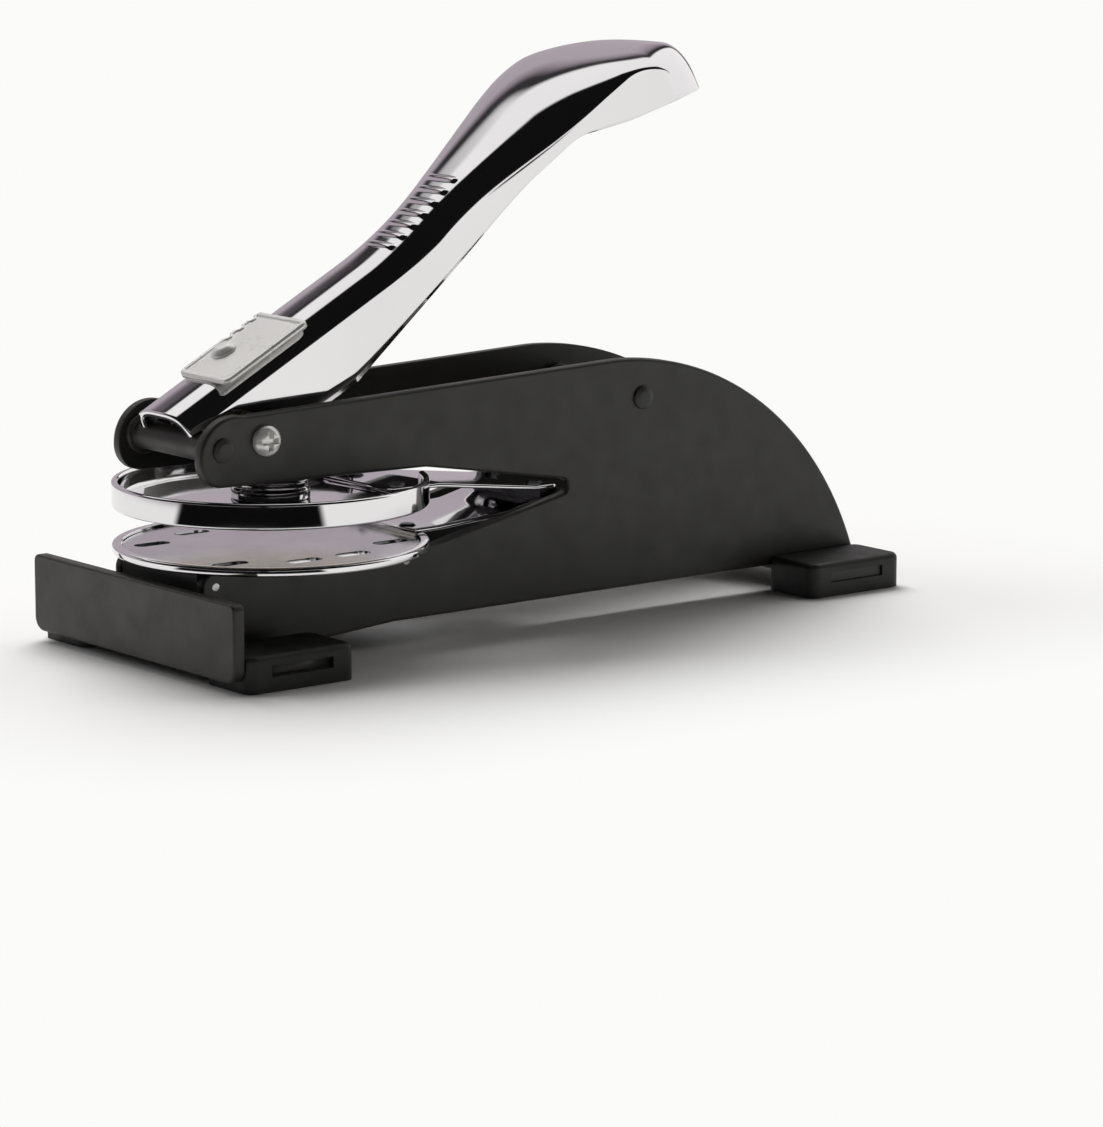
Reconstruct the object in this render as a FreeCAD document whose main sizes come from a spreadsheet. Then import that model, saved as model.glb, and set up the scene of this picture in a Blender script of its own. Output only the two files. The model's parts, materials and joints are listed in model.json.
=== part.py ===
import FreeCAD, Part
import math
import os
from types import SimpleNamespace

import Sketcher
from FreeCAD import Placement, Rotation, Vector

# A desk seal embosser. X runs across it, Y runs from its front plate to its tail, Z is up,
# and the origin is on the ground under the middle of its bounding box. Millimetres.

# ---------------------------------------------------------------- driving dimensions

# The crown's shape, from the end of the shank to the tip: how far along, how far up to its
# highest point, how far out to its full width, how far up the walls' lower edge has come, and
# the rounding of its shoulders against the shank's.
CROWN = (
    (0.052, 0.045, 0.000, 0.422, 1.03),
    (0.156, 0.205, 0.030, 0.578, 1.20),
    (0.260, 0.416, 0.143, 0.733, 1.38),
    (0.364, 0.637, 0.343, 0.888, 1.61),
    (0.468, 0.842, 0.557, 1.000, 1.86),
    (0.584, 1.000, 0.843, 0.931, 2.25),
    (0.701, 0.905, 1.000, 0.741, 2.60),
    (0.805, 0.568, 0.957, 0.534, 2.50),
    (0.896, 0.080, 0.700, 0.345, 2.00),
    (0.961, -0.420, 0.243, 0.259, 1.35),
    (1.000, -0.900, -0.357, 0.224, 0.38),
)

DIMENSIONS = {
    # name: (size, what it is)
    "overall_length": (150.0, "front plate's face to the back of the rear feet"),
    "front_plate_width": (60.2, "front plate, across"),
    "front_plate_thick": (2.2, "front plate, front to back"),
    "front_plate_top": (15.0, "height of the front plate's top edge"),
    "front_plate_gap": (1.8, "ground clearance of the front plate"),
    "front_plate_low_corner": (2.4, "radius of the front plate's lower corners"),
    "front_plate_top_corner": (1.2, "radius of its upper corners"),
    "strap_low": (2.7, "height of the underside of the straps"),
    "strap_thick": (1.6, "thickness of the straps"),
    "strap_depth": (12.0, "front to back of the strap ends inside the feet"),
    "front_leg_back": (20.0, "front plate's face to the back of its leg"),
    "front_leg_gap": (0.1, "the leg's sides to the front feet"),
    "front_tongue_start": (7.0, "front plate's face to the front edge of its end tongues"),
    "foot_width": (13.0, "front feet, across"),
    "foot_length": (21.5, "feet, front to back"),
    "foot_height": (6.2, "feet, ground to top"),
    "foot_corner": (2.0, "radius of the feet's upright corners"),
    "foot_edge": (1.0, "radius round the feet's top"),
    "foot_slot_depth": (0.5, "recess round the strap end in the foot's outer face"),
    "foot_slot_margin": (0.15, "how far that recess reaches past the strap end"),
    "front_foot_proud": (1.0, "how far the front feet reach past the front plate's ends"),
    "rear_foot_reach": (25.8, "mid-plane to the outer face of the rear feet"),
    "side_thick": (2.0, "thickness of the side plates"),
    "body_width": (26.5, "outer faces of the two side plates"),
    "body_height": (45.1, "height of the side plates' top edge"),
    "belly_height": (4.3, "height of the side plates' bottom edge"),
    "toe_start": (20.4, "front plate's face to the toe behind the leg"),
    "toe_width": (4.0, "front to back of the toe's flat end"),
    "toe_end": (45.0, "front plate's face to where the toe runs out"),
    "toe_low": (2.7, "height of the toe's flat end"),
    "jaw_front": (5.5, "front plate's face to the front of the side plates"),
    "jaw_height": (17.0, "height of the lower jaw, on which the lower disc lies"),
    "jaw_corner": (2.4, "radius of the lower jaw's front corner"),
    "jaw_knee": (54.0, "front plate's face to where the lower jaw starts to climb"),
    "nose_low": (31.1, "height of the underside of the nose"),
    "nose_top_radius": (7.0, "upper radius of the nose"),
    "nose_low_radius": (4.5, "lower radius of the nose"),
    "mouth_knee": (52.0, "front plate's face to where the mouth's roof starts to fall"),
    "mouth_knee_height": (30.3, "height of that knee"),
    "mouth_point": (88.6, "front plate's face to the sharp point of the mouth"),
    "mouth_point_height": (24.0, "height of that point"),
    "mouth_round": (1.35, "radius that rounds the point of the mouth"),
    "tail_radius": (59.5, "radius of the tail"),
    "tail_run": (56.7, "where the top edge turns into the tail to the back of the rear feet"),
    "plate_edge": (0.5, "rounding of the side plates' outer edges"),
    "pivot_setback": (18.4, "front plate's face to the lever's pivot"),
    "pivot_height": (38.2, "height of the lever's pivot"),
    "axle_radius": (2.5, "radius of the pivot axle"),
    "running_gap": (0.05, "radial clearance of every turning or sliding fit"),
    "side_gap": (0.15, "clearance beside and under moving pieces"),
    "screw_radius": (1.25, "shank radius of the pivot screws"),
    "screw_reach": (5.0, "how far the pivot screws enter the axle"),
    "screw_head_radius": (2.55, "head radius of the pivot screws"),
    "screw_head_high": (1.8, "head height of the pivot screws"),
    "recess_span": (3.0, "span of the cross recess"),
    "recess_width": (0.8, "width of one arm of the cross recess"),
    "recess_depth": (1.0, "depth of the cross recess"),
    "nose_rod_setback": (10.0, "front plate's face to the nose spacer"),
    "nose_rod_height": (37.3, "height of the nose spacer"),
    "rear_rod_setback": (6.1, "where the top edge turns into the tail to the rear spacer"),
    "rear_rod_height": (37.9, "height of the rear spacer"),
    "rod_radius": (2.5, "radius of the spacer rods"),
    "rod_shoulder_radius": (3.4, "radius of the rods' end shoulders"),
    "rod_shoulder_long": (1.5, "length of those shoulders"),
    "rivet_radius": (1.6, "radius of the rods' ends in the side plates"),
    "rivet_head_radius": (2.1, "radius of the riveted heads"),
    "rivet_head_high": (0.7, "height of the riveted heads"),
    "bed_end": (50.0, "front plate's face to the back of the bed block"),
    "bed_bridge": (9.0, "height of the bed block's underside behind its foot"),
    "bed_pin_radius": (0.9, "radius of the flush pins"),
    "bed_pin_height": (14.6, "height of the flush pins"),
    "bed_pin_inset": (2.6, "bed block's ends to the flush pins"),
    "rear_block_setback": (6.5, "back of the rear block to the back of the rear feet"),
    "rear_block_long": (13.0, "rear block, front to back"),
    "rear_block_high": (7.0, "rear block, height"),
    "base_screw_spread": (6.0, "mid-plane to the base screws"),
    "base_screw_radius": (1.2, "shank radius of the base screws"),
    "base_head_radius": (2.2, "head radius of the base screws"),
    "base_head_high": (1.2, "head height of the base screws"),
    "base_screw_reach": (4.5, "how far the base screws enter the blocks"),
    "plunger_setback": (28.6, "front plate's face to the plunger's axis"),
    "stem_radius": (5.0, "radius of the plunger's stem"),
    "stem_top": (36.69, "height of the top of the stem"),
    "collar_radius": (6.75, "radius of the plunger's collar"),
    "collar_high": (5.1, "height of the collar"),
    "collar_groove": (0.4, "depth of the groove round the collar"),
    "plunger_travel": (5.09, "how far the plunger goes down"),
    "guide_low": (31.2, "height of the plunger guide's underside"),
    "guide_high": (2.2, "thickness of the plunger guide"),
    "guide_front": (21.6, "front plate's face to the front of the plunger guide"),
    "guide_back": (40.0, "front plate's face to the back of the plunger guide"),
    "pad_radius": (3.6, "radius of the hard pad on the stem"),
    "pad_high": (1.0, "how far the pad stands out of the stem"),
    "pad_sunk": (1.5, "how deep the pad is pressed into the stem"),
    "roller_arm": (10.51, "pivot to the roller's axis"),
    "roller_lag": (14.0, "degrees of the roller's axis below the shank's direction"),
    "roller_radius": (3.0, "radius of the cam roller"),
    "roller_half": (3.0, "half length of the cam roller"),
    "roller_pin_radius": (1.25, "radius of the roller's pin"),
    "roller_collar_radius": (2.0, "radius of the collars beside the roller"),
    "disc_radius": (27.0, "radius of both discs"),
    "disc_rim": (1.2, "thickness of the discs' upright rims"),
    "lower_floor": (0.5, "floor thickness of the lower disc"),
    "lower_rim_high": (1.4, "height of the lower disc"),
    "upper_floor": (1.0, "floor thickness of the upper disc"),
    "upper_low": (24.8, "height of the underside of the upper disc"),
    "upper_rim_high": (4.4, "height of the upper disc"),
    "rim_round": (0.35, "rounding of the rims"),
    "die_radius": (20.5, "radius of the seal die"),
    "die_high": (1.15, "thickness of the seal die"),
    "plate_radius": (25.2, "radius of the counter die"),
    "plate_high": (0.4, "thickness of the counter die"),
    "slot_long": (7.5, "length of the locating slots"),
    "slot_wide": (2.8, "width of the locating slots"),
    "slot_outer_x": (11.7, "mid-plane to the outer pair of slots"),
    "slot_outer_y": (16.5, "disc axis to the outer pair of slots"),
    "slot_inner_x": (16.7, "mid-plane to the inner pair of slots"),
    "slot_inner_y": (5.0, "disc axis to the inner pair of slots"),
    "arm_half": (10.0, "half width of the clip arms"),
    "arm_thick": (0.7, "thickness of the clip arms"),
    "arm_bend": (57.0, "front plate's face to the first bend of both arms"),
    "arm_second_bend": (71.6, "front plate's face to the lower arm's second bend"),
    "lower_arm_second": (19.35, "height of the lower arm's underside there"),
    "lower_arm_end": (20.95, "height of the lower arm's underside at the heel"),
    "upper_arm_end": (23.05, "height of the upper arm's underside at the heel"),
    "arm_seat": (22.9, "disc axis to the front of the lower arm and its seat"),
    "upper_arm_start": (18.0, "disc axis to the front of the upper arm"),
    "arm_corner": (2.0, "corner radius of the arms"),
    "heel_start": (78.9, "front plate's face to the front of the clip heel"),
    "heel_long": (3.5, "clip heel, front to back"),
    "arm_rivet_radius": (0.9, "radius of the arms' rivets"),
    "arm_rivet_head": (0.35, "height of those rivets' heads"),
    "arm_rivet_spread": (6.0, "mid-plane to the arms' rivets"),
    "disc_screw_radius": (1.5, "shank radius of the screw that holds the upper disc"),
    "disc_screw_head": (2.8, "head radius of that screw"),
    "disc_screw_reach": (4.0, "how far it enters the plunger"),
    "lever_angle": (28.0, "degrees of the lever's shank above level when open"),
    "lever_half": (7.5, "half width of the lever's shank"),
    "lever_wall": (1.2, "sheet thickness of the lever"),
    "lever_top": (9.6, "pivot to the shank's top face"),
    "cut_past": (3.0, "how far the lever's cuts run past its walls"),
    "inner_softness": (0.2, "added to the inner radius of the lever's shoulders"),
    "lever_front": (9.2, "pivot to the lever's front end, along the shank"),
    "lever_front_low": (5.8, "height of the front end's lower edge over the pivot"),
    "ear_radius": (4.2, "radius of the ears round the pivot"),
    "lever_shoulder": (3.2, "rounding of the lever's long top edges"),
    "wall_knee": (24.0, "pivot to where the walls' lower edge starts to climb"),
    "wall_drop": (4.6, "depth of the walls below the pivot there"),
    "shank_end": (42.0, "pivot to the end of the straight shank"),
    "tip_reach": (119.0, "pivot to the tip, along the shank"),
    "crown_top": (19.1, "pivot to the crown's highest point"),
    "crown_half": (14.5, "half width of the crown"),
    "brim_high": (7.0, "height of the walls' lower edge where it clears the side plates"),
    "rib_start": (43.0, "pivot to the first grip rib"),
    "rib_pitch": (2.8, "pitch of the grip ribs"),
    "rib_radius": (0.7, "radius of the grip ribs"),
    "rib_half": (4.0, "half length of the grip ribs"),
    "bush_wall": (0.8, "wall of the ear bushes"),
    "bush_flange": (0.6, "thickness of the bushes' flanges"),
    "spring_radius": (3.2, "radius of the return spring's coils"),
    "spring_wire": (0.4, "radius of the return spring's wire"),
    "spring_turns": (4.0, "full turns of the return spring"),
    "spring_reach": (4.6, "mid-plane to the spring's legs"),
    "spring_dip": (10.0, "degrees its frame leg slopes down to the rear"),
    "spring_rise": (19.8, "degrees its other leg climbs against the lever's shank"),
    "frame_leg": (6.8, "length of the leg on the plunger guide"),
    "lever_leg": (13.9, "length of the leg under the lever"),
    "latch_front": (0.6, "pivot to the front edge of the latch, along the shank"),
    "latch_long": (19.0, "latch, along the shank"),
    "latch_half": (7.2, "half width of the latch"),
    "latch_side": (1.2, "mid-plane to the latch's middle, away from its notches"),
    "latch_corner": (1.3, "radius of the latch's corners"),
    "latch_thick": (0.8, "thickness of the latch"),
    "latch_border": (0.9, "width of the latch's raised border"),
    "latch_border_high": (0.25, "height of that border"),
    "latch_travel": (4.5, "how far the latch slides"),
    "latch_rivet_at": (8.2, "pivot to the latch's rivet, along the shank"),
    "latch_rivet_side": (2.0, "mid-plane to the latch's rivet, towards its notches"),
    "latch_rivet_radius": (1.2, "stem radius of the latch's rivet"),
    "button_radius": (2.3, "head radius of the latch's rivet"),
    "button_high": (1.2, "head height of the latch's rivet"),
    "latch_washer_radius": (1.9, "radius of the latch's washer"),
    "latch_washer_high": (0.8, "thickness of the latch's washer"),
    "notch_pitch": (2.8, "pitch of the latch's thumb notches"),
    "notch_inset": (2.2, "latch's rear edge to the first of them"),
    "notch_radius": (0.8, "radius of the latch's thumb notches"),
}


class Size:
    """A length: its value now, and the spreadsheet expression that gives it."""

    def __init__(self, text, value):
        self.text = text
        self.value = value

    def _join(self, sign, other, value, flip=False):
        one, two = (as_size(other), self) if flip else (self, as_size(other))
        return Size(f"({one.text} {sign} {two.text})", value)

    def __add__(self, other):
        return self._join("+", other, self.value + number(other))

    def __radd__(self, other):
        return self._join("+", other, number(other) + self.value, flip=True)

    def __sub__(self, other):
        return self._join("-", other, self.value - number(other))

    def __rsub__(self, other):
        return self._join("-", other, number(other) - self.value, flip=True)

    def __mul__(self, other):
        return self._join("*", other, self.value * number(other))

    def __rmul__(self, other):
        return self._join("*", other, number(other) * self.value, flip=True)

    def __truediv__(self, other):
        return self._join("/", other, self.value / number(other))

    def __neg__(self):
        return Size(f"(-1 * {self.text})", -self.value)


def number(size):
    return size.value if isinstance(size, Size) else float(size)


def as_size(size):
    return size if isinstance(size, Size) else Size(repr(float(size)), float(size))


def root(size):
    return Size(f"sqrt({size.text})", math.sqrt(size.value))


def sine(angle):
    return Size(f"sin({angle.text})", math.sin(math.radians(angle.value)))


def cosine(angle):
    return Size(f"cos({angle.text})", math.cos(math.radians(angle.value)))


doc = FreeCAD.newDocument("seal_embosser")
sheet = doc.addObject("Spreadsheet::Sheet", "Dims")
d = SimpleNamespace()
for row, (name, (size, meaning)) in enumerate(DIMENSIONS.items(), start=1):
    sheet.set(f"A{row}", meaning)
    sheet.set(f"B{row}", repr(size))
    sheet.setAlias(f"B{row}", name)
    setattr(d, name, Size(f"Dims.{name}", size))
doc.recompute()

# ---------------------------------------------------------------- places

front = -d.overall_length / 2
rear = d.overall_length / 2
tail_start = rear - d.tail_run
inner = d.body_width / 2 - d.side_thick
pivot_y = front + d.pivot_setback
plunger_y = front + d.plunger_setback
strap_high = d.strap_low + d.strap_thick
disc_top = d.jaw_height + d.lower_floor
plate_top = disc_top + d.plate_high
collar_low = d.upper_low + d.upper_floor
pad_top = d.stem_top + d.pad_high
bush_radius = d.axle_radius + d.running_gap + d.bush_wall
lever_inner = d.lever_half - d.lever_wall
roller_s = d.roller_arm * cosine(d.roller_lag)
roller_n = -d.roller_arm * sine(d.roller_lag)

nodes = []


# ---------------------------------------------------------------- helpers


def bind(thing, **sizes):
    """Tie each property to its size's expression; two underscores stand for a dot."""
    for path, size in sizes.items():
        thing.setExpression(path.replace("__", "."), as_size(size).text)


def put(thing, x=0, y=0, z=0, turn=None):
    """Place a piece: its base from sizes, and its turn as (axis, size in degrees)."""
    if turn:
        axis, angle = turn
        thing.Placement = Placement(Vector(), Rotation(axis, number(angle)))
        bind(thing, Placement__Rotation__Angle=angle)
    bind(thing, Placement__Base__x=x, Placement__Base__y=y, Placement__Base__z=z)
    return thing


def node(name, thing):
    """Keep a finished piece under its node name."""
    thing.Label = name
    nodes.append(thing)
    return thing


def body(name):
    return doc.addObject("PartDesign::Body", name.title().replace("_", ""))


def sketch(owner, plane, offset=0):
    """A sketch on one of the body's own origin planes, moved along its normal."""
    made = owner.newObject("Sketcher::SketchObject", "Sketch")
    base = [f for f in owner.Origin.OriginFeatures if f.Role == plane + "_Plane"][0]
    made.AttachmentSupport = [(base, "")]
    made.MapMode = "FlatFace"
    bind(made, AttachmentOffset__Base__z=offset)
    return made


def pin_point(made, geometry, end, u, v):
    """Hold one point of a sketch at (u, v) from its origin."""
    for kind, size in (("DistanceX", u), ("DistanceY", v)):
        rule = Sketcher.Constraint(kind, -1, 1, geometry, end, number(size))
        index = made.addConstraint(rule)
        made.setExpression(f"Constraints[{index}]", as_size(size).text)


def outline(made, corners):
    """Draw a closed outline. A corner is (u, v), or (u, v, radius) where an arc of that
    radius leads on to the next corner; a negative radius bulges to the path's right."""
    first = made.GeometryCount
    count = len(corners)
    for index, corner in enumerate(corners):
        following = corners[(index + 1) % count]
        a = Vector(number(corner[0]), number(corner[1]), 0)
        b = Vector(number(following[0]), number(following[1]), 0)
        if len(corner) == 2:
            made.addGeometry(Part.LineSegment(a, b))
            continue
        radius = abs(number(corner[2]))
        side = 1 if number(corner[2]) > 0 else -1
        half = (b - a) / 2
        left = Vector(-half.y, half.x, 0).normalize()
        rise = radius - math.sqrt(radius**2 - half.Length**2)
        made.addGeometry(Part.Arc(a, a + half + left * side * rise, b))
    ends = []
    for index in range(count):
        geometry = made.Geometry[first + index]
        begins = Vector(number(corners[index][0]), number(corners[index][1]), 0)
        forward = (geometry.StartPoint - begins).Length < (geometry.EndPoint - begins).Length
        ends.append((1, 2) if forward else (2, 1))
    for index in range(count):
        after = (index + 1) % count
        made.addConstraint(
            Sketcher.Constraint("Coincident", first + index, ends[index][1], first + after, ends[after][0])
        )
    for index, corner in enumerate(corners):
        pin_point(made, first + index, ends[index][0], corner[0], corner[1])
        if len(corner) == 3:
            radius = abs(number(corner[2]))
            rule = made.addConstraint(Sketcher.Constraint("Radius", first + index, radius))
            size = as_size(corner[2])
            text = size.text if size.value > 0 else (-size).text
            made.setExpression(f"Constraints[{rule}]", text)
    return made


def circle(made, u, v, radius):
    index = made.addGeometry(Part.Circle(Vector(number(u), number(v), 0), Vector(0, 0, 1), number(radius)))
    pin_point(made, index, 3, u, v)
    rule = made.addConstraint(Sketcher.Constraint("Radius", index, number(radius)))
    made.setExpression(f"Constraints[{rule}]", as_size(radius).text)
    return made


def rectangle(u0, v0, u1, v1):
    return [(u0, v0), (u1, v0), (u1, v1), (u0, v1)]


def pad(owner, made, length, both_sides=False):
    """Pad a sketch along its normal, or by half the length to each side."""
    grown = owner.newObject("PartDesign::Pad", "Pad")
    grown.Profile = made
    grown.SideType = "Symmetric" if both_sides else "One side"
    bind(grown, Length=length)
    doc.recompute()
    return grown


def cut_through(owner, made):
    """Pocket a sketch through everything, both ways, and see that it removed something."""
    before = owner.Shape.Volume
    cut = owner.newObject("PartDesign::Pocket", "Pocket")
    cut.Profile = made
    cut.SideType = "Symmetric"
    cut.Type = "ThroughAll"
    doc.recompute()
    if owner.Shape.Volume > before - 1e-6:
        raise RuntimeError(f"{owner.Name}: a pocket removed nothing")
    return cut


def revolve(owner, made, axis="V_Axis"):
    turned = owner.newObject("PartDesign::Revolution", "Revolution")
    turned.Profile = made
    turned.ReferenceAxis = (made, [axis])
    turned.Angle = 360
    doc.recompute()
    return turned


def edges_at(owner, direction, points):
    """Names of the straight edges along a direction that pass through the given points."""
    found = []
    for index, edge in enumerate(owner.Shape.Edges, start=1):
        if edge.Curve.TypeId != "Part::GeomLine":
            continue
        run = edge.Vertexes[-1].Point - edge.Vertexes[0].Point
        if run.Length < 1e-6 or run.normalize().cross(direction).Length > 1e-6:
            continue
        for point in points:
            away = Vector(*[number(c) for c in point]) - edge.Vertexes[0].Point
            if away.cross(direction).Length < 1e-3:
                found.append(f"Edge{index}")
                break
    return found


def faces_at(owner, normal, distance):
    """Names of the flat faces with an outward normal and a distance from the origin along it."""
    found = []
    for index, face in enumerate(owner.Shape.Faces, start=1):
        if face.Surface.TypeId != "Part::GeomPlane":
            continue
        if (face.normalAt(0, 0) - normal).Length < 1e-6:
            if abs(face.CenterOfMass.dot(normal) - distance) < 1e-6:
                found.append(f"Face{index}")
    return found


def round_edges(owner, names, radius):
    """Round the named edges, or all edges of the named faces, of a body's last feature."""
    if not names:
        raise RuntimeError(f"{owner.Name}: nothing to round")
    before = owner.Tip
    made = owner.newObject("PartDesign::Fillet", "Fillet")
    made.Base = (before, names)
    bind(made, Radius=radius)
    doc.recompute()
    return made


def rod(name, radius, length, x=0, y=0, z=0, along="X"):
    """A plain cylinder whose axis starts at (x, y, z)."""
    made = doc.addObject("Part::Cylinder", name)
    bind(made, Radius=radius, Height=length)
    if along == "X":
        made.Placement = Placement(Vector(), Rotation(Vector(0, 1, 0), 90))
    bind(made, Placement__Base__x=x, Placement__Base__y=y, Placement__Base__z=z)
    return made


def block(name, x0, y0, z0, x1, y1, z1):
    """A plain box between two corners."""
    made = doc.addObject("Part::Box", name)
    bind(made, Length=x1 - x0, Width=y1 - y0, Height=z1 - z0)
    bind(made, Placement__Base__x=x0, Placement__Base__y=y0, Placement__Base__z=z0)
    return made


def lathe(name, profile):
    """A turned piece about its own Z axis, from (radius, height) corners."""
    made = body(name)
    revolve(made, outline(sketch(made, "XZ"), profile))
    return made


def fuse(name, pieces):
    made = doc.addObject("Part::MultiFuse", name)
    made.Shapes = pieces
    return made


def drilled(name, base, tools):
    """A piece less its holes."""
    made = doc.addObject("Part::Cut", name)
    made.Base = base
    made.Tool = tools[0] if len(tools) == 1 else group(name + "_holes", tools)
    return made


def group(name, pieces):
    """Separate solids that share one node."""
    made = doc.addObject("Part::Compound", name)
    made.Links = pieces
    return made


# ---------------------------------------------------------------- frame


def side_plate(name, side):
    """One side plate, outlined in the (Y, Z) plane and padded across."""
    made = body(name)
    fall = d.body_height - d.belly_height
    tail_end = tail_start + root(d.tail_radius * fall * 2 - fall * fall)
    nose_front = front + d.jaw_front
    profile = outline(sketch(made, "YZ"), [
        (nose_front, d.body_height),
        (nose_front, d.nose_low),
        (front + d.mouth_knee, d.mouth_knee_height),
        (front + d.mouth_point, d.mouth_point_height),
        (front + d.jaw_knee, d.jaw_height),
        (nose_front, d.jaw_height),
        (nose_front, d.belly_height),
        (front + d.toe_start, d.belly_height),
        (front + d.toe_start, d.toe_low),
        (front + d.toe_start + d.toe_width, d.toe_low),
        (front + d.toe_end, d.belly_height),
        (tail_end, d.belly_height, -d.tail_radius),
        (tail_start, d.body_height),
    ])
    pad(made, profile, d.side_thick)
    for y, z, radius in (
        (nose_front, d.body_height, d.nose_top_radius),
        (nose_front, d.nose_low, d.nose_low_radius),
        (nose_front, d.jaw_height, d.jaw_corner),
        (front + d.mouth_point, d.mouth_point_height, d.mouth_round),
    ):
        round_edges(made, edges_at(made, Vector(1, 0, 0), [(0, y, z)]), radius)
    outer_face = number(d.side_thick) if side > 0 else 0.0
    round_edges(made, faces_at(made, Vector(side, 0, 0), outer_face * side), d.plate_edge)
    holes = sketch(made, "YZ")
    for y, z, radius in (
        (pivot_y, d.pivot_height, d.screw_radius),
        (front + d.nose_rod_setback, d.nose_rod_height, d.rivet_radius),
        (tail_start + d.rear_rod_setback, d.rear_rod_height, d.rivet_radius),
        (nose_front + d.bed_pin_inset, d.bed_pin_height, d.bed_pin_radius),
        (front + d.bed_end - d.bed_pin_inset, d.bed_pin_height, d.bed_pin_radius),
    ):
        circle(holes, y, z, radius)
    cut_through(made, holes)
    return node(name, put(made, x=inner if side > 0 else -d.body_width / 2))


side_plate("side_plate_right", 1)
side_plate("side_plate_left", -1)

# The front plate and its leg are one bent sheet; the leg's two tongues carry the front feet.
plate = body("front_plate")
half = d.front_plate_width / 2
plate_back = front + d.front_plate_thick
face = outline(sketch(plate, "XZ", offset=-plate_back),
               rectangle(-half, d.front_plate_gap, half, d.front_plate_top))
pad(plate, face, d.front_plate_thick)
for side in (1, -1):
    for height, radius in (
        (d.front_plate_gap, d.front_plate_low_corner),
        (d.front_plate_top, d.front_plate_top_corner),
    ):
        corner = edges_at(plate, Vector(0, 1, 0), [(side * half, 0, height)])
        round_edges(plate, corner, radius)
front_reach = d.front_plate_width / 2 + d.front_foot_proud
front_near = front_reach - d.foot_width
front_tongue = front_reach - d.foot_slot_depth
tongue_front = front + d.front_tongue_start
tongue_back = tongue_front + d.strap_depth
leg_back = front + d.front_leg_back
leg_half = front_near - d.front_leg_gap
leg = outline(sketch(plate, "XY", offset=d.strap_low), [
    (-leg_half, plate_back),
    (leg_half, plate_back),
    (leg_half, tongue_front),
    (front_tongue, tongue_front),
    (front_tongue, tongue_back),
    (leg_half, tongue_back),
    (leg_half, leg_back),
    (-leg_half, leg_back),
    (-leg_half, tongue_back),
    (-front_tongue, tongue_back),
    (-front_tongue, tongue_front),
    (-leg_half, tongue_front),
])
pad(plate, leg, d.strap_thick)
screw_y = (tongue_front + d.strap_depth / 2, rear - d.foot_length / 2)


def screw_holes(name, y, z0, z1):
    """Two clearance holes for the base screws."""
    return [
        rod(f"{name}_hole_{side}", d.base_screw_radius, z1 - z0, side * d.base_screw_spread, y, z0, "Z")
        for side in (1, -1)
    ]


node("front_plate", drilled("front_plate_drilled", plate, screw_holes("leg", screw_y[0], d.strap_low, strap_high)))

rear_tongue = d.rear_foot_reach - d.foot_slot_depth
rear_front = rear - d.foot_length / 2 - d.strap_depth / 2
strap = block("strap", -rear_tongue, rear_front, d.strap_low, rear_tongue, rear_front + d.strap_depth, strap_high)
node("rear_strap", drilled("rear_strap", strap, screw_holes("strap", screw_y[1], d.strap_low, strap_high)))


def foot(name, side, near, far, back):
    """A foot with rounded corners, slotted for its strap and recessed round the strap's end."""
    made = body(name)
    ahead = back - d.foot_length
    x0, x1 = (near, far) if side > 0 else (-far, -near)
    pad(made, outline(sketch(made, "XY"), rectangle(x0, ahead, x1, back)), d.foot_height)
    corners = [(x, y, 0) for x in (x0, x1) for y in (ahead, back)]
    round_edges(made, edges_at(made, Vector(0, 0, 1), corners), d.foot_corner)
    round_edges(made, faces_at(made, Vector(0, 0, 1), number(d.foot_height)), d.foot_edge)
    middle = back - d.foot_length / 2
    slot_half = d.strap_depth / 2
    slot = outline(sketch(made, "YZ"),
                   rectangle(middle - slot_half, d.strap_low, middle + slot_half, strap_high))
    cut_through(made, slot)
    margin = d.foot_slot_margin
    recess_x = side * (far - d.foot_slot_depth)
    recess = outline(
        sketch(made, "YZ", offset=recess_x),
        rectangle(middle - slot_half - margin, d.strap_low - margin, middle + slot_half + margin, strap_high + margin),
    )
    before = made.Shape.Volume
    hollow = made.newObject("PartDesign::Pocket", "Pocket")
    hollow.Profile = recess
    hollow.Reversed = side > 0
    bind(hollow, Length=d.foot_slot_depth + 1)
    doc.recompute()
    if not 1 < before - made.Shape.Volume < 60:
        raise RuntimeError(f"{name}: the recess went the wrong way")
    return node(name, made)


front_back = front + d.front_tongue_start + d.strap_depth / 2 + d.foot_length / 2
rear_near = d.body_width / 2 + d.running_gap
for word, side in (("right", 1), ("left", -1)):
    foot(f"front_foot_{word}", side, front_near, front_reach, front_back)
    foot(f"rear_foot_{word}", side, rear_near, d.rear_foot_reach, rear)


def spacer(name, y, z):
    """A rod between the side plates, shouldered against them and riveted over outside."""
    plate_out = inner + d.side_thick
    top = plate_out + d.rivet_head_high
    shoulder = inner - d.rod_shoulder_long
    made = lathe(name, [
        (0, -top),
        (d.rivet_head_radius * 0.6, -top),
        (d.rivet_head_radius, -plate_out),
        (d.rivet_radius, -plate_out),
        (d.rivet_radius, -inner),
        (d.rod_shoulder_radius, -inner),
        (d.rod_shoulder_radius, -shoulder),
        (d.rod_radius, -shoulder),
        (d.rod_radius, shoulder),
        (d.rod_shoulder_radius, shoulder),
        (d.rod_shoulder_radius, inner),
        (d.rivet_radius, inner),
        (d.rivet_radius, plate_out),
        (d.rivet_head_radius, plate_out),
        (d.rivet_head_radius * 0.6, top),
        (0, top),
    ])
    return node(name, put(made, y=y, z=z, turn=(Vector(0, 1, 0), 90)))


spacer("nose_spacer", front + d.nose_rod_setback, d.nose_rod_height)
spacer("rear_spacer", tail_start + d.rear_rod_setback, d.rear_rod_height)

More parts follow.
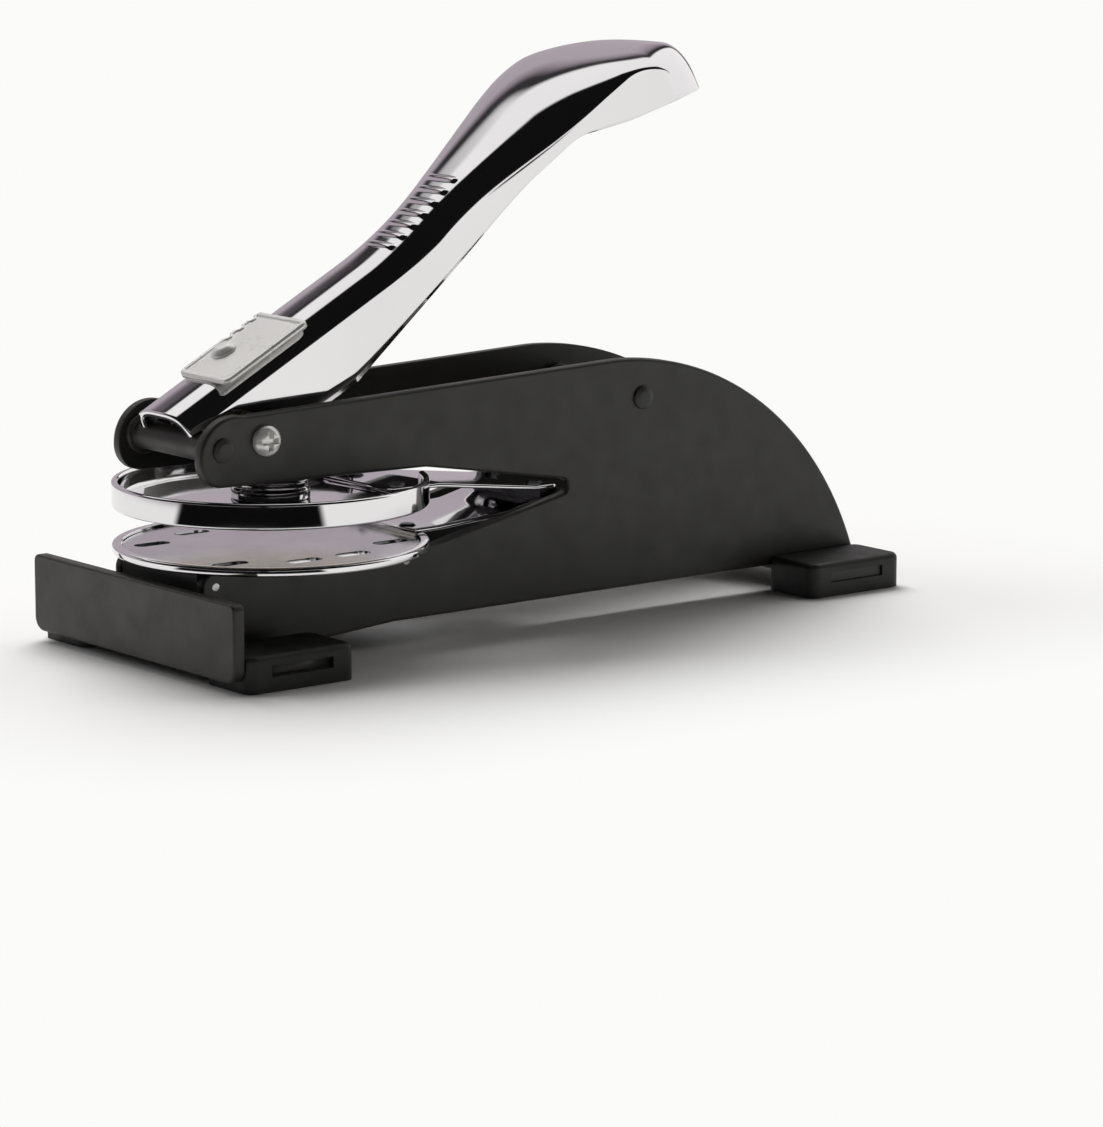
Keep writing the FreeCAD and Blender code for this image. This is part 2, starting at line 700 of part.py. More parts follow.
# The bed block stands on the front leg and carries the lower disc level with the jaws.
bed_front = front + d.jaw_front + d.side_gap
bed_back = front + d.bed_end
bed = body("bed_block")
bed_profile = outline(sketch(bed, "YZ"), [
    (bed_front, strap_high),
    (leg_back, strap_high),
    (leg_back, d.bed_bridge),
    (bed_back, d.bed_bridge),
    (bed_back, d.jaw_height),
    (bed_front, d.jaw_height),
])
pad(bed, bed_profile, inner * 2, both_sides=True)
pin_y = (front + d.jaw_front + d.bed_pin_inset, bed_back - d.bed_pin_inset)
bed_pins = [
    rod(f"bed_pin_{i}", d.bed_pin_radius, d.body_width, -d.body_width / 2, y, d.bed_pin_height)
    for i, y in enumerate(pin_y)
]
pin_holes = sketch(bed, "YZ")
for y in pin_y:
    circle(pin_holes, y, d.bed_pin_height, d.bed_pin_radius)
cut_through(bed, pin_holes)
screw_top = strap_high + d.base_screw_reach
node("bed_block", drilled("bed_block_drilled", bed, screw_holes("bed", screw_y[0], strap_high, screw_top)))
node("bed_pins", group("bed_pins", bed_pins))

rear_start = rear - d.rear_block_setback - d.rear_block_long
rear_stock = block("rear_stock", -inner, rear_start, strap_high, inner,
                   rear_start + d.rear_block_long, strap_high + d.rear_block_high)
node("rear_block", drilled("rear_block_drilled", rear_stock, screw_holes("rear", screw_y[1], strap_high, screw_top)))

base_screws = []
for y in screw_y:
    for side in (1, -1):
        head_low = d.strap_low - d.base_head_high
        screw = lathe("base_screw", [
            (0, head_low),
            (d.base_head_radius * 0.8, head_low),
            (d.base_head_radius, d.strap_low - d.base_head_high / 2),
            (d.base_head_radius, d.strap_low),
            (d.base_screw_radius, d.strap_low),
            (d.base_screw_radius, screw_top),
            (0, screw_top),
        ])
        base_screws.append(put(screw, x=side * d.base_screw_spread, y=y))
node("base_screws", group("base_screws", base_screws))

guide_top = d.guide_low + d.guide_high
guide = block("guide", -inner, front + d.guide_front, d.guide_low, inner, front + d.guide_back, guide_top)
bore = rod("guide_bore", d.stem_radius + d.running_gap, d.guide_high, 0, plunger_y, d.guide_low, "Z")
node("plunger_guide", drilled("plunger_guide", guide, [bore]))

# ---------------------------------------------------------------- pivot

axle = lathe("pivot_axle", [
    (0, -inner + d.screw_reach),
    (d.screw_radius, -inner + d.screw_reach),
    (d.screw_radius, -inner),
    (d.axle_radius, -inner),
    (d.axle_radius, inner),
    (d.screw_radius, inner),
    (d.screw_radius, inner - d.screw_reach),
    (0, inner - d.screw_reach),
])
node("pivot_axle", put(axle, y=pivot_y, z=d.pivot_height, turn=(Vector(0, 1, 0), 90)))

screws = []
for side in (1, -1):
    # Pan head with a cross recess, its shank in the tapped end of the axle.
    shank = -d.side_thick - d.screw_reach
    screw = lathe("pivot_screw", [
        (0, shank),
        (d.screw_radius, shank),
        (d.screw_radius, 0),
        (d.screw_head_radius, 0),
        (d.screw_head_radius, d.screw_head_high * 0.4, -d.screw_head_radius),
        (d.screw_head_radius * 0.45, d.screw_head_high),
        (0, d.screw_head_high),
    ])
    for wide, deep in ((d.recess_span, d.recess_width), (d.recess_width, d.recess_span)):
        arm = outline(sketch(screw, "XY", offset=d.screw_head_high - d.recess_depth),
                      rectangle(-wide / 2, -deep / 2, wide / 2, deep / 2))
        before = screw.Shape.Volume
        recess = screw.newObject("PartDesign::Pocket", "Pocket")
        recess.Profile = arm
        recess.Reversed = True
        bind(recess, Length=d.recess_depth + 1)
        doc.recompute()
        if not 0.1 < before - screw.Shape.Volume < 4:
            raise RuntimeError("pivot_screw: the recess went the wrong way")
    put(screw, x=side * d.body_width / 2, y=pivot_y, z=d.pivot_height, turn=(Vector(0, side, 0), 90))
    screws.append(screw)
node("pivot_screws", group("pivot_screws", screws))

flange_out = d.lever_half + d.bush_flange
spacers = []
for side in (1, -1):
    near = flange_out + d.side_gap
    ring = lathe("pivot_spacer", rectangle(d.axle_radius, near, bush_radius + 0.8, inner))
    spacers.append(put(ring, y=pivot_y, z=d.pivot_height, turn=(Vector(0, side, 0), 90)))
node("pivot_spacers", group("pivot_spacers", spacers))

# ---------------------------------------------------------------- lever's own frame


def lever_y(s, n):
    return pivot_y + s * cosine(d.lever_angle) - n * sine(d.lever_angle)


def lever_z(s, n):
    return d.pivot_height + s * sine(d.lever_angle) + n * cosine(d.lever_angle)


def on_lever(made, s=0, n=0, x=0):
    """Place a piece whose own Y runs along the shank and whose own Z stands off it."""
    return put(made, x=x, y=lever_y(s, n), z=lever_z(s, n), turn=(Vector(1, 0, 0), d.lever_angle))


# ---------------------------------------------------------------- return spring

# Coils round the axle; one leg lies on the plunger guide, the other bears under the lever's top.
# Each leg starts a wire's radius back inside the coil, so that the wire is one solid.
coil_span = d.spring_reach * 2
lift = d.lever_angle + d.spring_rise
turns = d.spring_turns + (90 + lift - d.spring_dip) / 360
coil = doc.addObject("Part::Helix", "coil")
bind(coil, Pitch=coil_span / turns, Height=coil_span, Radius=d.spring_radius)
wire = doc.addObject("Part::Circle", "coil_wire")
wire.Placement = Placement(Vector(), Rotation(Vector(1, 0, 0), 90))
bind(wire, Radius=d.spring_wire, Placement__Base__x=d.spring_radius)
doc.recompute()
coils = doc.addObject("Part::Sweep", "coils")
coils.Sections = [wire]
coils.Spine = (coil, [f"Edge{i + 1}" for i in range(len(coil.Shape.Edges))])
coils.Solid = True
coils.Frenet = True
dip = math.radians(number(d.spring_dip))
coils.Placement = Placement(Vector(), Rotation(
    Vector(0, -math.sin(dip), -math.cos(dip)),
    Vector(0, -math.cos(dip), math.sin(dip)),
    Vector(-1, 0, 0),
    "ZXY",
))
bind(coils, Placement__Base__x=d.spring_reach, Placement__Base__y=pivot_y, Placement__Base__z=d.pivot_height)
legs = []
for side, start, slope, long in (
    (1, -90 - d.spring_dip, -90 - d.spring_dip, d.frame_leg),
    (-1, 90 + lift, lift - 90, d.lever_leg),
):
    made = doc.addObject("Part::Cylinder", "spring_leg")
    bind(made, Radius=d.spring_wire, Height=long + d.spring_wire)
    y = pivot_y + d.spring_radius * cosine(start) + d.spring_wire * sine(slope)
    z = d.pivot_height + d.spring_radius * sine(start) - d.spring_wire * cosine(slope)
    legs.append(put(made, x=side * d.spring_reach, y=y, z=z, turn=(Vector(1, 0, 0), slope)))
node("return_spring", fuse("return_spring", [coils] + legs))

# ---------------------------------------------------------------- lower clip


def slot_outlines(made):
    """Eight locating slots, long from front to back, two pairs before and two behind."""
    wide = d.slot_wide / 2
    reach = (d.slot_long - d.slot_wide) / 2
    bow = d.slot_wide * 0.52
    for ahead in (1, -1):
        for side in (1, -1):
            for x, y in ((d.slot_outer_x, d.slot_outer_y), (d.slot_inner_x, d.slot_inner_y)):
                u, v = side * x, ahead * y
                outline(made, [
                    (u + wide, v - reach),
                    (u + wide, v + reach, -bow),
                    (u - wide, v + reach),
                    (u - wide, v - reach, -bow),
                ])
    return made


disc_low = d.jaw_height
rim_top = disc_low + d.lower_rim_high
soft = d.rim_round
lower = lathe("lower_disc", [
    (0, disc_low),
    (d.disc_radius - soft, disc_low),
    (d.disc_radius, disc_low + soft),
    (d.disc_radius, rim_top - soft),
    (d.disc_radius - soft, rim_top),
    (d.disc_radius - d.disc_rim, rim_top),
    (d.disc_radius - d.disc_rim, disc_top),
    (0, disc_top),
])
# A raised seat behind the counter die carries the lower arm.
seat_half = d.arm_half + 0.2
seat_radius = d.disc_radius - d.disc_rim / 2
seat_back = root(seat_radius * seat_radius - seat_half * seat_half)
seat = outline(sketch(lower, "XY", offset=disc_low), [
    (-seat_half, d.arm_seat),
    (seat_half, d.arm_seat),
    (seat_half, seat_back, -seat_radius),
    (-seat_half, seat_back),
])
pad(lower, seat, d.lower_rim_high)
cut_through(lower, slot_outlines(sketch(lower, "XY")))
put(lower, y=plunger_y)

rivet_y = plunger_y + (d.arm_seat + d.disc_radius - d.disc_rim) / 2


def arm_rivets(name, low, high, y):
    """Two rivets, flush below and headed above."""
    made = []
    for side in (1, -1):
        rivet = lathe(name, [
            (0, low),
            (d.arm_rivet_radius, low),
            (d.arm_rivet_radius, high),
            (d.arm_rivet_radius * 1.7, high),
            (d.arm_rivet_radius * 1.2, high + d.arm_rivet_head),
            (0, high + d.arm_rivet_head),
        ])
        made.append(put(rivet, x=side * d.arm_rivet_spread, y=y))
    return group(name, made)


def rivet_holes(name, low, high, y, radius=d.arm_rivet_radius):
    return [
        rod(f"{name}_{side}", radius, high - low, side * d.arm_rivet_spread, y, low, "Z")
        for side in (1, -1)
    ]


node("lower_disc", drilled("lower_disc_drilled", lower, rivet_holes("seat_hole", disc_low, rim_top, rivet_y)))
node("lower_arm_rivets", arm_rivets("lower_arm_rivets", disc_low, rim_top + d.arm_thick, rivet_y))

counter = lathe("counter_die", rectangle(0, disc_top, d.plate_radius, plate_top))
cut_through(counter, slot_outlines(sketch(counter, "XY")))
room = d.side_gap
behind = sketch(counter, "XY")
outline(behind, rectangle(-seat_half - room, d.arm_seat - room, seat_half + room, d.disc_radius))
cut_through(counter, behind)
node("counter_die", put(counter, y=plunger_y))

heel_y = front + d.heel_start
heel_end = heel_y + d.heel_long
heel_middle = heel_y + d.heel_long / 2


def arm(name, corners):
    """A flat spring arm, bent where its outline in the (Y, Z) plane turns."""
    made = body(name)
    over = [(y, z + d.arm_thick) for y, z in reversed(corners)]
    profile = outline(sketch(made, "YZ"), corners + over)
    pad(made, profile, d.arm_half * 2, both_sides=True)
    ends = [(side * d.arm_half, corners[i][0], 0) for side in (1, -1) for i in (0, -1)]
    round_edges(made, edges_at(made, Vector(0, 0, 1), ends), d.arm_corner)
    return made


heel_spread = d.arm_rivet_spread
lower_arm = arm("lower_clip_arm", [
    (plunger_y + d.arm_seat + room, rim_top),
    (front + d.arm_bend, rim_top),
    (front + d.arm_second_bend, d.lower_arm_second),
    (heel_y - 0.3, d.lower_arm_end),
    (heel_end, d.lower_arm_end),
])
holes = rivet_holes("lower_arm_hole", rim_top, rim_top + d.arm_thick, rivet_y)
holes += rivet_holes("lower_heel_hole", d.lower_arm_end, d.lower_arm_end + d.arm_thick, heel_middle)
node("lower_clip_arm", drilled("lower_clip_arm_drilled", lower_arm, holes))

heel_low = d.lower_arm_end + d.arm_thick
heel = block("heel", -d.arm_half, heel_y, heel_low, d.arm_half, heel_end, d.upper_arm_end)
holes = rivet_holes("heel_hole", heel_low, d.upper_arm_end, heel_middle)
node("clip_heel", drilled("clip_heel_drilled", heel, holes))
node("heel_rivets", arm_rivets("heel_rivets", d.lower_arm_end, d.upper_arm_end + d.arm_thick, heel_middle))

# ---------------------------------------------------------------- upper clip

upper_top = d.upper_low + d.upper_rim_high
upper = lathe("upper_disc", [
    (0, d.upper_low),
    (d.disc_radius - soft * 2, d.upper_low),
    (d.disc_radius, d.upper_low + soft * 2),
    (d.disc_radius, upper_top - soft),
    (d.disc_radius - soft, upper_top),
    (d.disc_radius - d.disc_rim + soft, upper_top),
    (d.disc_radius - d.disc_rim, upper_top - soft),
    (d.disc_radius - d.disc_rim, collar_low),
    (0, collar_low),
])
put(upper, y=plunger_y)
notch = block("rim_notch", -seat_half, plunger_y + d.disc_radius / 2, collar_low,
              seat_half, plunger_y + d.disc_radius + 1, upper_top + 1)
upper_rivet_y = plunger_y + (d.arm_seat + d.die_radius) / 2 + 0.4
screw_low = d.upper_low + d.upper_floor * 0.4
holes = rivet_holes("upper_hole", d.upper_low, collar_low, upper_rivet_y)
holes += [
    rod("disc_hole", d.disc_screw_radius, d.upper_floor, 0, plunger_y, d.upper_low, "Z"),
    rod("disc_sink", d.disc_screw_head, d.upper_floor * 0.6, 0, plunger_y, d.upper_low, "Z"),
]
tools = [fuse("disc_sink_hole", holes[2:])] + holes[:2] + [notch]
node("upper_disc", drilled("upper_disc_drilled", upper, tools))
die = rod("upper_die", d.die_radius, d.die_high, 0, plunger_y, d.upper_low - d.die_high, "Z")
node("upper_die", die)

upper_arm = arm("upper_clip_arm", [
    (plunger_y + d.upper_arm_start, collar_low),
    (front + d.arm_bend, collar_low),
    (heel_y - 0.3, d.upper_arm_end),
    (heel_end, d.upper_arm_end),
])
arm_top = collar_low + d.arm_thick
holes = rivet_holes("upper_arm_hole", collar_low, arm_top, upper_rivet_y)
holes += rivet_holes("upper_heel_hole", d.upper_arm_end, d.upper_arm_end + d.arm_thick, heel_middle)
node("upper_clip_arm", drilled("upper_clip_arm_drilled", upper_arm, holes))
node("upper_arm_rivets", arm_rivets("upper_arm_rivets", d.upper_low, arm_top, upper_rivet_y))

screw = lathe("disc_screw", [
    (0, d.upper_low),
    (d.disc_screw_head, d.upper_low),
    (d.disc_screw_head, d.upper_low + d.upper_floor * 0.6),
    (d.disc_screw_radius, d.upper_low + d.upper_floor * 0.6),
    (d.disc_screw_radius, collar_low + d.disc_screw_reach),
    (0, collar_low + d.disc_screw_reach),
])
node("disc_screw", put(screw, y=plunger_y))

# ---------------------------------------------------------------- plunger

collar_top = collar_low + d.collar_high
groove = d.collar_radius - d.collar_groove
step = d.collar_high / 6
plunger = lathe("plunger", [
    (d.disc_screw_radius, collar_low),
    (d.collar_radius, collar_low),
    (d.collar_radius, collar_low + step * 2),
    (groove, collar_low + step * 2.5),
    (groove, collar_low + step * 3.5),
    (d.collar_radius, collar_low + step * 4),
    (d.collar_radius, collar_top - d.collar_groove),
    (groove, collar_top),
    (d.stem_radius, collar_top),
    (d.stem_radius, d.stem_top),
    (d.pad_radius, d.stem_top),
    (d.pad_radius, d.stem_top - d.pad_sunk),
    (0, d.stem_top - d.pad_sunk),
    (0, collar_low + d.disc_screw_reach),
    (d.disc_screw_radius, collar_low + d.disc_screw_reach),
])
node("plunger", put(plunger, y=plunger_y))
pad_low = d.stem_top - d.pad_sunk
node("plunger_pad", rod("plunger_pad", d.pad_radius, d.pad_sunk + d.pad_high, 0, plunger_y, pad_low, "Z"))

# ---------------------------------------------------------------- lever


def section(owner, along, top, half_width, low, shoulder):
    """One cross-section of the lever, square to its shank."""
    return outline(sketch(owner, "XZ", offset=-as_size(along)), [
        (half_width, low),
        (half_width, top - shoulder, -shoulder),
        (half_width - shoulder, top),
        (shoulder - half_width, top, -shoulder),
        (-half_width, top - shoulder),
        (-half_width, low),
    ])


def loft(owner, kind, sections):
    made = owner.newObject(f"PartDesign::{kind}Loft", "Loft")
    made.Profile = sections[0]
    made.Sections = sections[1:]
    doc.recompute()
    return made


lever = body("handle_shell")


def climb(along):
    """A station of the shank behind the knee of its walls, whose lower edge climbs from there."""
    rise = (along - d.wall_knee) / (d.shank_end + (d.tip_reach - d.shank_end) * CROWN[4][0] - d.wall_knee)
    low = -d.wall_drop + (d.brim_high + d.wall_drop) * rise
    return (along, d.lever_top, d.lever_half, low, d.lever_shoulder)


stations = [climb(d.wall_knee + (d.shank_end - d.wall_knee) * part / 3) for part in range(4)]
for far, up, out, hem, softness in CROWN:
    stations.append((
        d.shank_end + (d.tip_reach - d.shank_end) * far,
        d.lever_top + (d.crown_top - d.lever_top) * up,
        d.lever_half + (d.crown_half - d.lever_half) * out,
        -d.wall_drop + (d.brim_high + d.wall_drop) * hem,
        d.lever_shoulder * softness,
    ))
shank = section(lever, d.wall_knee, *stations[0][1:])
pad(lever, shank, d.wall_knee + d.lever_front)
loft(lever, "Additive", [section(lever, *station) for station in stations])
ribs = sketch(lever, "YZ")
for index in range(7):
    at = d.rib_start + d.rib_pitch * index
    place = max(i for i, station in enumerate(stations[:-1]) if station[0].value <= at.value)
    (s0, n0), (s1, n1) = stations[place][:2], stations[place + 1][:2]
    top_here = n0 + (n1 - n0) * (at - s0) / (s1 - s0)
    circle(ribs, at, top_here - d.rib_radius * 0.6, d.rib_radius)
pad(lever, ribs, d.rib_half * 2, both_sides=True)


def inside(along, top, half_width, low, shoulder):
    """The hollow's cross-section at a station, one sheet's thickness in and open below."""
    return section(
        lever, along, top - d.lever_wall, half_width - d.lever_wall, low - d.cut_past,
        shoulder * 0.9 - d.lever_wall + d.inner_softness,
    )


channel = inside(-d.lever_front - d.cut_past, *stations[0][1:])
before = lever.Shape.Volume
hollow = lever.newObject("PartDesign::Pocket", "Pocket")
hollow.Profile = channel
bind(hollow, Length=d.wall_knee + d.lever_front + d.cut_past)
doc.recompute()
if before - lever.Shape.Volume < 1000:
    raise RuntimeError("handle_shell: its channel went the wrong way")
cavity = [inside(*station) for station in stations[:-2]]
tip = stations[-1]
for back, drop, narrow, softness in ((4.0, -4.3, -3.2, 0.75), (1.6, 0.7, 0.5, 0.37)):
    cavity.append(
        section(lever, tip[0] - back, tip[1] - drop, tip[2] - narrow, tip[3] - 6, d.lever_shoulder * softness)
    )
loft(lever, "Subtractive", cavity)
ear = d.ear_radius
underside = outline(sketch(lever, "YZ"), [
    (-d.lever_front - d.cut_past, d.lever_front_low),
    (-ear, d.lever_front_low),
    (-ear, 0, -ear),
    (0, -ear),
    (d.wall_knee, -d.wall_drop),
    (d.wall_knee, -d.wall_drop * 3),
    (-d.lever_front - d.cut_past, -d.wall_drop * 3),
])
cut_through(lever, underside)
bores = sketch(lever, "YZ")
circle(bores, 0, 0, bush_radius)
circle(bores, roller_s, roller_n, d.roller_pin_radius)
cut_through(lever, bores)
slot_half = d.latch_rivet_radius + d.running_gap
slot = outline(sketch(lever, "XY"), rectangle(
    -d.latch_rivet_side - slot_half, d.latch_rivet_at - d.latch_travel - slot_half,
    slot_half - d.latch_rivet_side, d.latch_rivet_at + slot_half,
))
cut_through(lever, slot)
node("handle_shell", on_lever(lever))

bushes, collars = [], []
for side in (1, -1):
    sideways = (Vector(0, side, 0), 90)
    bush = lathe("ear_bush", [
        (d.axle_radius + d.running_gap, lever_inner),
        (bush_radius, lever_inner),
        (bush_radius, d.lever_half),
        (bush_radius + 0.8, d.lever_half),
        (bush_radius + 0.8, flange_out),
        (d.axle_radius + d.running_gap, flange_out),
    ])
    bushes.append(put(bush, y=pivot_y, z=d.pivot_height, turn=sideways))
    collar = lathe("roller_collar", rectangle(
        d.roller_pin_radius, d.roller_half + d.side_gap * 0.7, d.roller_collar_radius, lever_inner
    ))
    collars.append(put(collar, y=lever_y(roller_s, roller_n), z=lever_z(roller_s, roller_n), turn=sideways))
node("ear_bushes", group("ear_bushes", bushes))
node("roller_collars", group("roller_collars", collars))
roller_at = {"y": lever_y(roller_s, roller_n), "z": lever_z(roller_s, roller_n)}
node("roller_pin", rod("roller_pin", d.roller_pin_radius, d.lever_half * 2, -d.lever_half, **roller_at))
roller = lathe("cam_roller", rectangle(
    d.roller_pin_radius + d.running_gap, -d.roller_half, d.roller_radius, d.roller_half
))
node("cam_roller", put(roller, turn=(Vector(0, 1, 0), 90), **roller_at))

# ---------------------------------------------------------------- latch

latch_low = d.lever_top + d.running_gap
latch_top = latch_low + d.latch_thick
latch_back = d.latch_front + d.latch_long
latch = body("latch_plate")
latch_notched = d.latch_side - d.latch_half
latch_plain = d.latch_side + d.latch_half
sheet_outline = rectangle(latch_notched, d.latch_front, latch_plain, latch_back)
pad(latch, outline(sketch(latch, "XY", offset=latch_low), sheet_outline), d.latch_thick)
border = sketch(latch, "XY", offset=latch_top)
edge = d.latch_border
outline(border, sheet_outline)
outline(border, rectangle(latch_notched + edge, d.latch_front + edge, latch_plain - edge, latch_back - edge))
pad(latch, border, d.latch_border_high)
upright = [(x, y, 0) for x in (latch_notched, latch_plain) for y in (d.latch_front, latch_back)]
round_edges(latch, edges_at(latch, Vector(0, 0, 1), upright), d.latch_corner)
grips = sketch(latch, "XY")
for index in range(3):
    circle(grips, latch_notched, latch_back - d.notch_inset - d.notch_pitch * index, d.notch_radius)
cut_through(latch, grips)
middle = sketch(latch, "XY")
circle(middle, -d.latch_rivet_side, d.latch_rivet_at, d.latch_rivet_radius)
cut_through(latch, middle)
node("latch_plate", on_lever(latch))

washer_top = d.lever_top - d.lever_wall - d.running_gap
washer_low = washer_top - d.latch_washer_high
rivet = lathe("latch_rivet", [
    (0, washer_low),
    (d.latch_rivet_radius, washer_low),
    (d.latch_rivet_radius, latch_top),
    (d.button_radius, latch_top),
    (d.button_radius, latch_top + d.button_high * 0.3, -d.button_radius * 1.1),
    (d.button_radius * 0.35, latch_top + d.button_high),
    (0, latch_top + d.button_high),
])
node("latch_rivet", on_lever(rivet, s=d.latch_rivet_at, x=-d.latch_rivet_side))
washer = lathe("latch_washer", rectangle(d.latch_rivet_radius, washer_low, d.latch_washer_radius, washer_top))
node("latch_washer", on_lever(washer, s=d.latch_rivet_at, x=-d.latch_rivet_side))

# ---------------------------------------------------------------- check and write

doc.recompute()
for thing in doc.Objects:
    if any(word in thing.State for word in ("Invalid", "Error")):
        raise RuntimeError(f"{thing.Name} ({thing.Label}): {thing.State}")
os.makedirs("parts", exist_ok=True)
for thing in nodes:
    shape = thing.Shape
    if shape.isNull() or not shape.isValid() or not shape.Solids:
        raise RuntimeError(f"{thing.Label} has no valid solid")
    shape.exportStep(os.path.join("parts", thing.Label + ".step"))
    box = shape.BoundBox
    print(
        f"{thing.Label:20s} solids {len(shape.Solids)}  volume {shape.Volume:9.2f}  "
        f"x {box.XMin:7.2f} {box.XMax:7.2f}  y {box.YMin:7.2f} {box.YMax:7.2f}  z {box.ZMin:6.2f} {box.ZMax:6.2f}"
    )
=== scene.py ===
# %% [markdown]
# # A desk seal embosser
#
# This file dresses a small desk embosser: two black side plates on a foot frame, a chrome
# palm lever, and a round die clip that the lever closes on a sheet of paper. The frame that
# is loaded first holds every piece at its true size and place, in metres. X runs across the
# object, Y from its front plate to its tail, and Z up. Each cell below makes one piece or one
# finish, and a few of them print what they made.

# %% Load the frame
import json
import math

import bpy
import numpy as np
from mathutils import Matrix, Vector


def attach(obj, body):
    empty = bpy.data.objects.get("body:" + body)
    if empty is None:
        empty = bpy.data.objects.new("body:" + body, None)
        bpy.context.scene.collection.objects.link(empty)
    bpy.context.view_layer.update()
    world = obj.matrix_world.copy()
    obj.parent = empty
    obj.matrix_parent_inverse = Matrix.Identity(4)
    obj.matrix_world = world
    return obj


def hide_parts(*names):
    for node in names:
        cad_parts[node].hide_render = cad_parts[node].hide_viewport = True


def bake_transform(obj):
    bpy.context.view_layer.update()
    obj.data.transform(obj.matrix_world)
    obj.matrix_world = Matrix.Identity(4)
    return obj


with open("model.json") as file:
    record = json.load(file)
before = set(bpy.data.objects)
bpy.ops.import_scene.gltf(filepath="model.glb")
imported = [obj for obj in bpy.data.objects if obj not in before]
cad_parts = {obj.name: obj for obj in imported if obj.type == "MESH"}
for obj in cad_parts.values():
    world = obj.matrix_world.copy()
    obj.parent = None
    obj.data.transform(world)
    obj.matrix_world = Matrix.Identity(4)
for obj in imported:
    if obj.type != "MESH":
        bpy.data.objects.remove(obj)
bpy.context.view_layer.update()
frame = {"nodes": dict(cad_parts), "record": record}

# %% [markdown]
# ## Where things are
#
# A few sizes place everything: the lever's pivot, the angle of its shank when it is open, the
# axis of the plunger and discs, and the side plates' faces. They are written once, in
# millimetres, because that is how such a part is drawn, and every surface is turned into
# metres when it is put into the mesh.

# %% Sizes that many pieces share
MM = 0.001
FRONT = -75.0
PIVOT = (FRONT + 18.4, 38.2)
SHANK_ANGLE = math.radians(28.0)
PLUNGER_Y = FRONT + 28.6
PLATE_OUT = 13.25
PLATE_IN = 11.25
PIVOT_POINT = (0.0, PIVOT[0], PIVOT[1])
print("plunger axis at y =", PLUNGER_Y, "mm")

# %% [markdown]
# ## Helpers that turn arrays into meshes
#
# Most pieces here are pressed, turned or bent, so their surfaces are functions of two
# parameters: round and along, or across and along. A grid of points is worked out for the
# whole surface at once, and its faces follow from the grid's own numbering. A pressed sheet
# could also be modelled by hand from a box, but a formula keeps its radii true.

# %% Put vertices and faces into a new piece
def new_piece(name, points, faces, body, smooth=True):
    """A mesh object from points in millimetres and a list of faces; it rides on a body, or is
    left free of one."""
    mesh = bpy.data.meshes.new(name)
    mesh.from_pydata((np.asarray(points, float).reshape(-1, 3) * MM).tolist(), [], faces)
    mesh.validate()
    mesh.polygons.foreach_set("use_smooth", np.full(len(mesh.polygons), smooth))
    mesh.update()
    piece = bpy.data.objects.new(name, mesh)
    bpy.context.scene.collection.objects.link(piece)
    if body:
        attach(piece, body)
    return piece


def grid_faces(rows, columns, close_rows=False, close_columns=False, start=0):
    """Quads of a grid numbered row by row: each joins a point, the next in its row, and the
    two beneath them; closing joins the last row or column back to the first."""
    r = np.arange(rows if close_rows else rows - 1)[:, None]
    c = np.arange(columns if close_columns else columns - 1)[None, :]
    r2, c2 = (r + 1) % rows, (c + 1) % columns
    quads = np.stack([r * columns + c, r * columns + c2, r2 * columns + c2, r2 * columns + c], -1)
    return (quads.reshape(-1, 4) + start).tolist()


# %% Round the corners of an outline
def rounded(corners, closed=True, step=math.radians(6)):
    """Points along an outline whose corners (a, b, radius) are replaced by arcs: each arc
    touches both edges at radius * tan(half the turn) from the corner."""
    out = []
    count = len(corners)
    for i, (a, b, radius) in enumerate(corners):
        here = np.array([a, b], float)
        if radius <= 0 or (not closed and i in (0, count - 1)):
            out.append(here[None])
            continue
        before = np.array(corners[i - 1][:2], float)
        after = np.array(corners[(i + 1) % count][:2], float)
        u = (before - here) / np.linalg.norm(before - here)
        v = (after - here) / np.linalg.norm(after - here)
        turn = math.pi - math.acos(float(np.clip(u @ v, -1, 1)))
        reach = radius * math.tan(turn / 2)
        middle = here + (u + v) / np.linalg.norm(u + v) * math.hypot(radius, reach)
        start = here + u * reach - middle
        sign = -1.0 if u[0] * v[1] - u[1] * v[0] > 0 else 1.0
        angles = np.linspace(0, sign * turn, max(3, int(turn / step) + 2))
        c, s = np.cos(angles), np.sin(angles)
        out.append(middle + np.stack([start[0] * c - start[1] * s, start[0] * s + start[1] * c], -1))
    return np.concatenate(out)


# %% A flat plate with rounded edges
def inset(outline, distance):
    """The outline moved inwards by a distance, along the mitre of its two edges at each point."""
    edge = np.roll(outline, -1, 0) - outline
    edge /= np.maximum(np.linalg.norm(edge, axis=1, keepdims=True), 1e-9)
    normal = np.stack([edge[:, 1], -edge[:, 0]], -1)
    both = normal + np.roll(normal, 1, 0)
    both /= np.maximum((both * both).sum(1, keepdims=True) / 2, 0.2)
    return outline - both * distance


